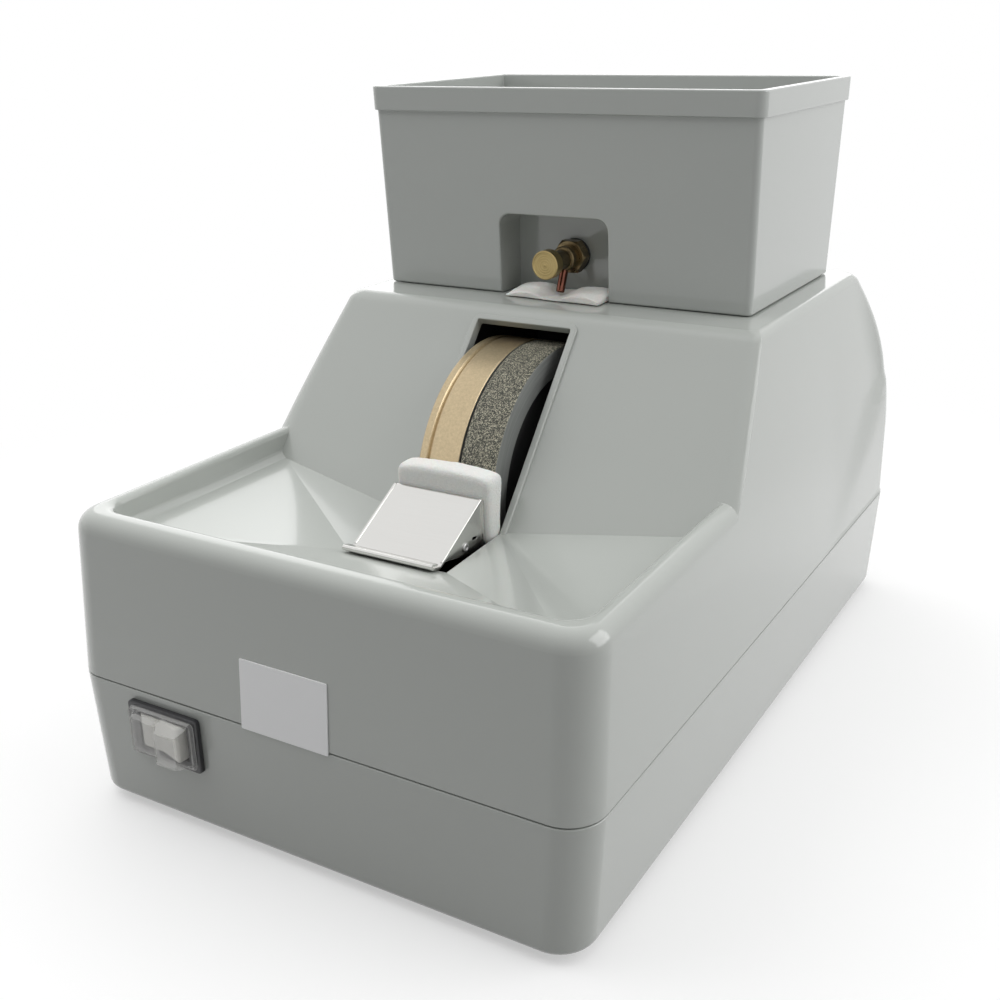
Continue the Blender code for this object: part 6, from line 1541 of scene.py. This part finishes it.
def switch_boot():
    """Clear rubber boot with a lobe over each end of the rocker."""
    half_w, half_h = SWITCH_WIDTH / 2 - BOOT_INSET, SWITCH_HEIGHT / 2 - BOOT_INSET
    corner_x, corner_z = half_w - BOOT_CORNER, half_h - BOOT_CORNER
    across, up = BOOT_COUNTS
    face = SWITCH.y - SWITCH_PROUD - STACK_GAP
    shape = bmesh.new()
    rows = []
    for j in range(up + 1):
        row = []
        for i in range(across + 1):
            x, z = (2 * i / across - 1) * half_w, (2 * j / up - 1) * half_h
            border = i in (0, across) or j in (0, up)
            rise = BOOT_SOLE if border else boot_rise(x, z, half_w, half_h)
            dx, dz = abs(x) - corner_x, abs(z) - corner_z
            if dx > 0 and dz > 0:
                scale = max(dx, dz) / math.hypot(dx, dz)
                x = math.copysign(corner_x + dx * scale, x)
                z = math.copysign(corner_z + dz * scale, z)
            row.append(shape.verts.new((SWITCH.x + x, face - rise, SWITCH.z + z)))
        rows.append(row)
    for low, high in zip(rows, rows[1:]):
        for i in range(across):
            shape.faces.new((low[i], low[i + 1], high[i + 1], high[i]))
    obj = from_shape("clear_boot", shape)
    faces = obj.data.polygons
    if faces[len(faces) // 2].normal.y > 0:
        obj.data.flip_normals()
    modify(obj, "wall", "SOLIDIFY", thickness=BOOT_WALL, offset=-1)
    baked(obj)
    for vert in obj.data.vertices:
        vert.co.y = min(vert.co.y, face)
    shaded(obj, math.radians(60))
    obj.data.materials.append(finish("clear rubber"))
    obj.location = FRAME_SHIFT
    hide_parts("switch_boot")
    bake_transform(obj)


def front_plate():
    """Blank white plate with rounded corners, lying on the leaning front."""
    lean = RIM_FRONT_DRAFT / (RIM_HEIGHT - SEAM_HEIGHT)
    middle = Vector(((LABEL_LEFT + LABEL_RIGHT) / 2, (LABEL_BOTTOM + LABEL_TOP) / 2))
    half = Vector(((LABEL_RIGHT - LABEL_LEFT) / 2, (LABEL_TOP - LABEL_BOTTOM) / 2))
    rings = []
    for inset, proud in ((0, 0), (0, 0.26 * MM), (0.05 * MM, 0.34 * MM), (0.14 * MM, LABEL_THICKNESS)):
        ring = []
        for x, z in rounded(rectangle(half.x - inset, half.y - inset), LABEL_CORNER, 5):
            front = -HALF_DEPTH + lean * (middle.y + z - SEAM_HEIGHT) - STACK_GAP
            ring.append(Vector((middle.x + x, front - proud, middle.y + z)))
        rings.append(ring)
    placed(skinned("blank_plate", rings), "casing", "white plate", "white_plate", "label_plate")


def power_inlet():
    """Three-pin mains socket with clipped corners, flush with the tray's back."""
    back = HALF_DEPTH - TRAY_BACK_DRAFT
    inner = back - WALL - GAP
    centre = (INLET_X, 0, INLET_Z)
    w, h = INLET_SIZE.x / 2, INLET_SIZE.z / 2
    outline = rounded(rectangle(w, h), 1 * MM, 5)
    body = drawn_out("inlet_body", outline, -back, -back + INLET_SIZE.y, "Y", centre)
    flange = rounded(rectangle(w + INLET_FLANGE, h + INLET_FLANGE), 2 * MM, 5)
    carve(body, drawn_out("flange", flange, -inner, -inner + 2 * MM, "Y", centre), operation="UNION")
    w, h = INLET_SOCKET.x / 2, INLET_SOCKET.z / 2
    x, z = w - INLET_CLIP, h - INLET_CLIP
    socket = rounded([(-w, -h), (w, -h), (w, z), (x, h), (-x, h), (-w, z)], 0.8 * MM)
    carve(body, drawn_out("socket", socket, -back - OVERRUN, -back + INLET_SOCKET.y, "Y", centre))
    softened(body, 0.3 * MM, 2, math.radians(50))
    placed(body, "casing", "black plastic", "black_plastic", "power_inlet")
    for name in ("live", "earth", "neutral"):
        low, high = (corner - FRAME_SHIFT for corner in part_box("inlet_pin_" + name))
        pin = block("pin_" + name, low, high, 0.5 * MM, 3)
        placed(pin, "casing", "brass", "brass", "inlet_pin_" + name)


# Tap


def hexagon(name, start, end, chamfer):
    """A hexagon nut of the tap, whose corners are turned down on both faces."""
    corner = NUT_FLATS / 2 / math.cos(math.pi / 6)
    points = [(corner * math.cos(math.pi / 3 * k), corner * math.sin(math.pi / 3 * k)) for k in range(6)]
    nut = drawn_out(name, points, start, end, "Y", TAP)
    limit, face = corner + MERGE, NUT_FLATS / 2 * 0.99
    dome = [(0, start), (face, start), (limit, start + chamfer), (limit, end - chamfer), (face, end),
            (0, end)]
    carve(nut, turned("dome", dome, TAP, "Y", 96), operation="INTERSECT")
    carve(nut, rod("hole", THREAD_RADIUS, start - OVERRUN, end + OVERRUN, TAP, "Y", 48))
    return softened(nut, 0.12 * MM, 2, math.radians(25))


def tap_barrel(base, end):
    """The tap's body, from its bore in front to its tail inside the tank, and its copper spout."""
    bore, face, collar, tail = mm(3.1, 4.1, 5.2, 3.6)
    deep, shoulder = end - 3.8 * MM, base + 5.4 * MM
    section = [(0, deep), (bore, deep), (bore, end), (face, end), (face, shoulder), (4.7 * MM, shoulder),
               (collar, shoulder - 0.5 * MM), (collar, base), (tail, base), (tail, -11 * MM), (0, -11 * MM)]
    profile = rounded(section, mm(0, 0.2, 0.2, 0.3, 0.4, 0.12, 0.12, 0.2, 0, 0.5, 0), close=False)
    body = turned("tap_barrel", profile, TAP, "Y")
    root = TAP + Vector((0, -(end - SPOUT_SETBACK), -4.9 * MM + 1.8 * MM))
    leaning = Matrix.Translation(root) @ Matrix.Rotation(-SPOUT_LEAN, 4, "X")
    drill = rod("drill", SPOUT_RADIUS + 0.1 * MM, -SPOUT_DROP, 0.1 * MM, root, "Z", BORE_SIDES)
    drill.matrix_world = leaning
    carve(body, drill)
    placed(body, "tank", "dark brass", "brass", "tap_body")
    spout = sleeve("copper_spout", (1.1 * MM, SPOUT_RADIUS), (0, -SPOUT_DROP), 0.3 * MM, 4, root, "Z", 40)
    spout.matrix_world = leaning
    placed(spout, "tank", "copper", "copper", "tap_spout")


def knob_section(reach, back, stem):
    """The knob's face with its turned rings, its rim and its stem."""
    face = back + 5.2 * MM
    low = face - 0.26 * MM
    section = [(0, face), (0.3 * MM, face - 0.1 * MM), (0.6 * MM, face - 0.28 * MM)]
    for ring in KNOB_RINGS:
        section += [((ring - 0.12) * MM, low), (ring * MM, face - 0.31 * MM), ((ring + 0.12) * MM, low)]
    return section + [
        (reach - 0.95 * MM, low), (reach - 0.75 * MM, face), (reach - 0.35 * MM, face),
        (reach, face - 0.35 * MM), (reach, back + 0.3 * MM), (reach - 0.3 * MM, back),
        (3.6 * MM, back), (3 * MM, back - 0.6 * MM), (3 * MM, stem), (0, stem)]


def drip_tap(settings):
    """Brass tap: gasket, nut, barrel with two collars, copper spout and turned knob."""
    # The black rubber gasket is a real part; its rim showing round the nut also stands in for the shadow that
    # rings the nut.
    gasket = sleeve("rubber_gasket", (THREAD_RADIUS, 7 * MM), (STACK_GAP, 1.2 * MM), 0.3 * MM, 3, TAP, "Y")
    placed(gasket, "tank", "rubber", "rubber", "tap_gasket")
    start = 1.3 * MM
    nut = hexagon("brass_nut", start, start + 5.5 * MM, 1.1 * MM)
    placed(nut, "tank", "dark brass", "brass", "tap_nut")
    base = start + 5.6 * MM
    end = base + 13 * MM
    tap_barrel(base, end)
    lock = hexagon("inner_nut", -2.6 * MM - 4 * MM, -2.6 * MM, 1 * MM)
    placed(lock, "tank", "brass", "brass", "tap_lock_nut")
    section = knob_section(settings.knob_radius, end + 2.9 * MM, end - 3.2 * MM)
    placed(turned("turned_knob", section, TAP, "Y", 72), "tap_knob", "knob brass", "brass", "tap_knob")


# Inner parts, taken over from the model

INNER_FINISHES = {
    "steel": ("chassis_plate", "bearing_left", "bearing_right", "spindle_shaft", "inner_flange",
              "outer_flange", "spindle_nut", "rotor_core", "motor_shaft", "motor_cradle", "cover_screw_1",
              "cover_screw_2", "cover_screw_3", "cover_screw_4"),
    "aluminium": ("pedestal_left", "pedestal_right", "spindle_pulley", "motor_end_left", "motor_end_right",
                  "motor_pulley"),
    "rubber": ("shaft_seal_left", "shaft_seal_right", "drive_belt"),
    # The tub and hood are painted near black as the shade inside the wheel slot.
    "tub plastic": ("wheel_tub", "splash_hood"),
    "copper": ("stator_core",),
    "motor enamel": ("motor_case",),
    "black plastic": ("capacitor",),
    "white plate": ("terminal_block",),
}


def inner_parts():
    """Gives the parts that are taken over from the model their finishes; the wheel tub and splash hood get
    near-black plastic as painted shade.
    """
    for finish_name, names in INNER_FINISHES.items():
        for name in names:
            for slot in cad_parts[name].material_slots:
                slot.material = finish(finish_name)


# Stage

CAMERA_PLACE = Vector((0.24468, -0.43008, 0.27531))
CAMERA_YAW = math.radians(30.70)
CAMERA_PITCH = math.radians(20.39)
CAMERA_ROLL = math.radians(1.20)
CAMERA_SHIFT = (-0.01244, -0.01796)
FLOOR_RADIUS = 1.6
FLOOR_GLOW = 0.45
FADE_START = 0.26
FADE_END = 0.5
FLOOR_COLOR = (0.95, 0.95, 0.95, 1)
FLOOR_UNSEEN = (0.35, 0.35, 0.35, 1)
WHITE = (1, 1, 1, 1)
SENSOR_WIDTH = 36
NEAREST_SEEN = 0.01


def camera(settings):
    """The camera at the photograph's place, looking down to the left."""
    data = bpy.data.cameras.new("camera")
    data.lens = settings.lens
    data.sensor_width = SENSOR_WIDTH
    data.shift_x, data.shift_y = CAMERA_SHIFT
    data.clip_start = NEAREST_SEEN
    obj = new_object("camera", data)
    yaw, pitch, roll = CAMERA_YAW, CAMERA_PITCH, CAMERA_ROLL
    forward = Vector((-math.sin(yaw) * math.cos(pitch), math.cos(yaw) * math.cos(pitch), -math.sin(pitch)))
    right = Vector((math.cos(yaw), math.sin(yaw), 0))
    down = forward.cross(right)
    tilted = right * math.cos(roll) + down * math.sin(roll)
    below = down * math.cos(roll) - right * math.sin(roll)
    turn = Matrix((tilted, -below, -forward)).transposed()
    obj.matrix_world = Matrix.Translation(CAMERA_PLACE) @ turn.to_4x4()
    bpy.context.scene.camera = obj


def emptied(owner):
    """The node tree of a material or world, with nothing in it."""
    owner.use_nodes = True
    owner.node_tree.nodes.clear()
    return owner.node_tree


def shown(tree, hidden, seen, output):
    """Puts out one shader for what is seen straight, mirrored or through clear parts, else the other."""
    path = add(tree, "ShaderNodeLightPath").outputs
    direct = maths(tree, "MAXIMUM", path["Is Camera Ray"], path["Is Glossy Ray"])
    clear = maths(tree, "MAXIMUM", direct, path["Is Transmission Ray"])
    mix = add(tree, "ShaderNodeMixShader", {0: clear, 1: hidden.outputs[0], 2: seen.outputs[0]})
    add(tree, output, {"Surface": mix.outputs[0]})


def floor():
    """Pale round floor that fades to the white background away from the machine."""
    shape = bmesh.new()
    bmesh.ops.create_circle(shape, cap_ends=True, segments=96, radius=FLOOR_RADIUS)
    obj = from_shape("studio_floor", shape)
    made = bpy.data.materials.new("studio_floor")
    tree = emptied(made)
    away = vectors(tree, "LENGTH", add(tree, "ShaderNodeTexCoord").outputs["Object"], output="Value")
    fade = add(tree, "ShaderNodeMapRange", {"Value": away, "From Min": FADE_START, "From Max": FADE_END},
               interpolation_type="SMOOTHSTEP")
    share = add(tree, "ShaderNodeMapRange", {"Value": fade.outputs[0], "To Min": FLOOR_GLOW, "To Max": 1.0})
    matt = add(tree, "ShaderNodeBsdfDiffuse", {"Color": FLOOR_COLOR})
    glow = add(tree, "ShaderNodeEmission", {"Color": WHITE, "Strength": 1.0})
    pale = add(tree, "ShaderNodeMixShader", {0: share.outputs[0], 1: matt.outputs[0], 2: glow.outputs[0]})
    dim = add(tree, "ShaderNodeBsdfDiffuse", {"Color": FLOOR_UNSEEN})
    shown(tree, dim, pale, "ShaderNodeOutputMaterial")
    obj.data.materials.append(made)


def backdrop(settings):
    """White background for the camera and for reflections, and a dimmer even light for the rest."""
    world = bpy.data.worlds.new("studio")
    bpy.context.scene.world = world
    tree = emptied(world)
    even = add(tree, "ShaderNodeBackground", {"Color": WHITE, "Strength": settings.ambient})
    white = add(tree, "ShaderNodeBackground", {"Color": WHITE, "Strength": 1.0})
    shown(tree, even, white, "ShaderNodeOutputWorld")


LAMP_AIM = Vector((0, 0, 0.1))
LAMPS = (
    # name, place, width, height, watts, seen in reflections
    ("top_softbox", (-0.2, 0.02, 1.27), 1.9, 1.9, 13.5, False),
    ("left_softbox", (-1.05, -0.1, 1.05), 1.7, 1.7, 10.0, False),
    ("right_softbox", (1.15, 0.42, 0.75), 1.2, 1.2, 12.0, True),
    ("rear_softbox", (-0.9, 1.5, 0.95), 2.0, 1.3, 7.5, True),
)


def lamps(settings):
    """Softboxes that the camera doesn't see, of which two show in reflections."""
    for name, place, width, height, watts, mirrored in LAMPS:
        data = bpy.data.lights.new(name, "AREA")
        data.shape = "RECTANGLE"
        data.size, data.size_y = width, height
        data.energy = watts * settings.lamp_level
        obj = new_object(name, data)
        turn = (LAMP_AIM - Vector(place)).to_track_quat("-Z", "Y")
        obj.matrix_world = Matrix.Translation(place) @ turn.to_matrix().to_4x4()
        obj.visible_camera = False
        obj.visible_glossy = mirrored


# Operators


class EDGER_OT_stage(bpy.types.Operator):
    """Set the camera, the lamps, the floor and the white background"""

    bl_idname = "edger.stage"
    bl_label = "Stage"

    def execute(self, context):
        settings = context.scene.edger_stage
        context.scene.view_settings.view_transform = "Standard"
        camera(settings)
        floor()
        backdrop(settings)
        lamps(settings)
        return {"FINISHED"}


class EDGER_OT_casing(bpy.types.Operator):
    """Build the cover, its slot bead and the tray"""

    bl_idname = "edger.casing"
    bl_label = "Casing"

    def execute(self, context):
        settings = context.scene.edger_casing
        upper_cover(settings)
        slot_bead(settings)
        lower_tray(settings)
        return {"FINISHED"}


class EDGER_OT_feet(bpy.types.Operator):
    """Build the rubber feet and the drain's plug"""

    bl_idname = "edger.feet"
    bl_label = "Feet and plug"

    def execute(self, context):
        feet_and_plug()
        return {"FINISHED"}


class EDGER_OT_tank(bpy.types.Operator):
    """Build the water tank"""

    bl_idname = "edger.tank"
    bl_label = "Water tank"

    def execute(self, context):
        water_tank(context.scene.edger_casing)
        return {"FINISHED"}


class EDGER_OT_wheels(bpy.types.Operator):
    """Build the two grinding wheels and their spacer"""

    bl_idname = "edger.wheels"
    bl_label = "Wheels"

    def execute(self, context):
        wheels(context.scene.edger_wheels)
        return {"FINISHED"}


class EDGER_OT_bracket(bpy.types.Operator):
    """Build the folded bracket and its screws"""

    bl_idname = "edger.bracket"
    bl_label = "Sponge bracket"

    def execute(self, context):
        sponge_bracket(context.scene.edger_fittings)
        return {"FINISHED"}


class EDGER_OT_foam(bpy.types.Operator):
    """Build the sponge and the drip pad"""

    bl_idname = "edger.foam"
    bl_label = "Foam"

    def execute(self, context):
        settings = context.scene.edger_foam
        sponge(settings)
        drip_pad(settings)
        return {"FINISHED"}


class EDGER_OT_switch(bpy.types.Operator):
    """Build the mains switch with its rocker and clear boot"""

    bl_idname = "edger.switch"
    bl_label = "Mains switch"

    def execute(self, context):
        switch_frame()
        rocker()
        switch_boot()
        return {"FINISHED"}


class EDGER_OT_plate(bpy.types.Operator):
    """Build the blank front plate"""

    bl_idname = "edger.plate"
    bl_label = "Front plate"

    def execute(self, context):
        front_plate()
        return {"FINISHED"}


class EDGER_OT_inlet(bpy.types.Operator):
    """Build the mains inlet and its pins"""

    bl_idname = "edger.inlet"
    bl_label = "Mains inlet"

    def execute(self, context):
        power_inlet()
        return {"FINISHED"}


class EDGER_OT_tap(bpy.types.Operator):
    """Build the drip tap"""

    bl_idname = "edger.tap"
    bl_label = "Drip tap"

    def execute(self, context):
        drip_tap(context.scene.edger_fittings)
        return {"FINISHED"}


class EDGER_OT_inner_parts(bpy.types.Operator):
    """Give the inner parts of the model their finishes"""

    bl_idname = "edger.inner_parts"
    bl_label = "Inner parts"

    def execute(self, context):
        inner_parts()
        return {"FINISHED"}


OPERATORS = (
    EDGER_OT_stage,
    EDGER_OT_casing,
    EDGER_OT_feet,
    EDGER_OT_tank,
    EDGER_OT_wheels,
    EDGER_OT_bracket,
    EDGER_OT_foam,
    EDGER_OT_switch,
    EDGER_OT_plate,
    EDGER_OT_inlet,
    EDGER_OT_tap,
    EDGER_OT_inner_parts,
)


class EDGER_PT_panel(bpy.types.Panel):
    """Sizes and colours of the machine, and the steps that build it"""

    bl_label = "Lens faceting machine"
    bl_idname = "EDGER_PT_panel"
    bl_space_type = "VIEW_3D"
    bl_region_type = "UI"
    bl_category = "Lens edger"

    def draw(self, context):
        for group in SETTINGS:
            box = self.layout.box()
            settings = getattr(context.scene, group)
            for name in settings.__annotations__:
                box.prop(settings, name)
        for operator in OPERATORS:
            self.layout.operator(operator.bl_idname)


SETTINGS = {
    "edger_casing": CasingSettings,
    "edger_wheels": WheelSettings,
    "edger_foam": FoamSettings,
    "edger_fittings": FittingSettings,
    "edger_stage": StageSettings,
}
CLASSES = (*SETTINGS.values(), *OPERATORS, EDGER_PT_panel)


def register():
    for cls in CLASSES:
        bpy.utils.register_class(cls)
    for name, group in SETTINGS.items():
        setattr(bpy.types.Scene, name, bpy.props.PointerProperty(type=group))


def unregister():
    for name in SETTINGS:
        delattr(bpy.types.Scene, name)
    for cls in reversed(CLASSES):
        bpy.utils.unregister_class(cls)


def main():
    register()
    bpy.ops.edger.stage()
    bpy.ops.edger.casing()
    bpy.ops.edger.feet()
    bpy.ops.edger.tank()
    bpy.ops.edger.wheels()
    bpy.ops.edger.bracket()
    bpy.ops.edger.foam()
    bpy.ops.edger.switch()
    bpy.ops.edger.plate()
    bpy.ops.edger.inlet()
    bpy.ops.edger.tap()
    bpy.ops.edger.inner_parts()


if __name__ == "__main__":
    main()
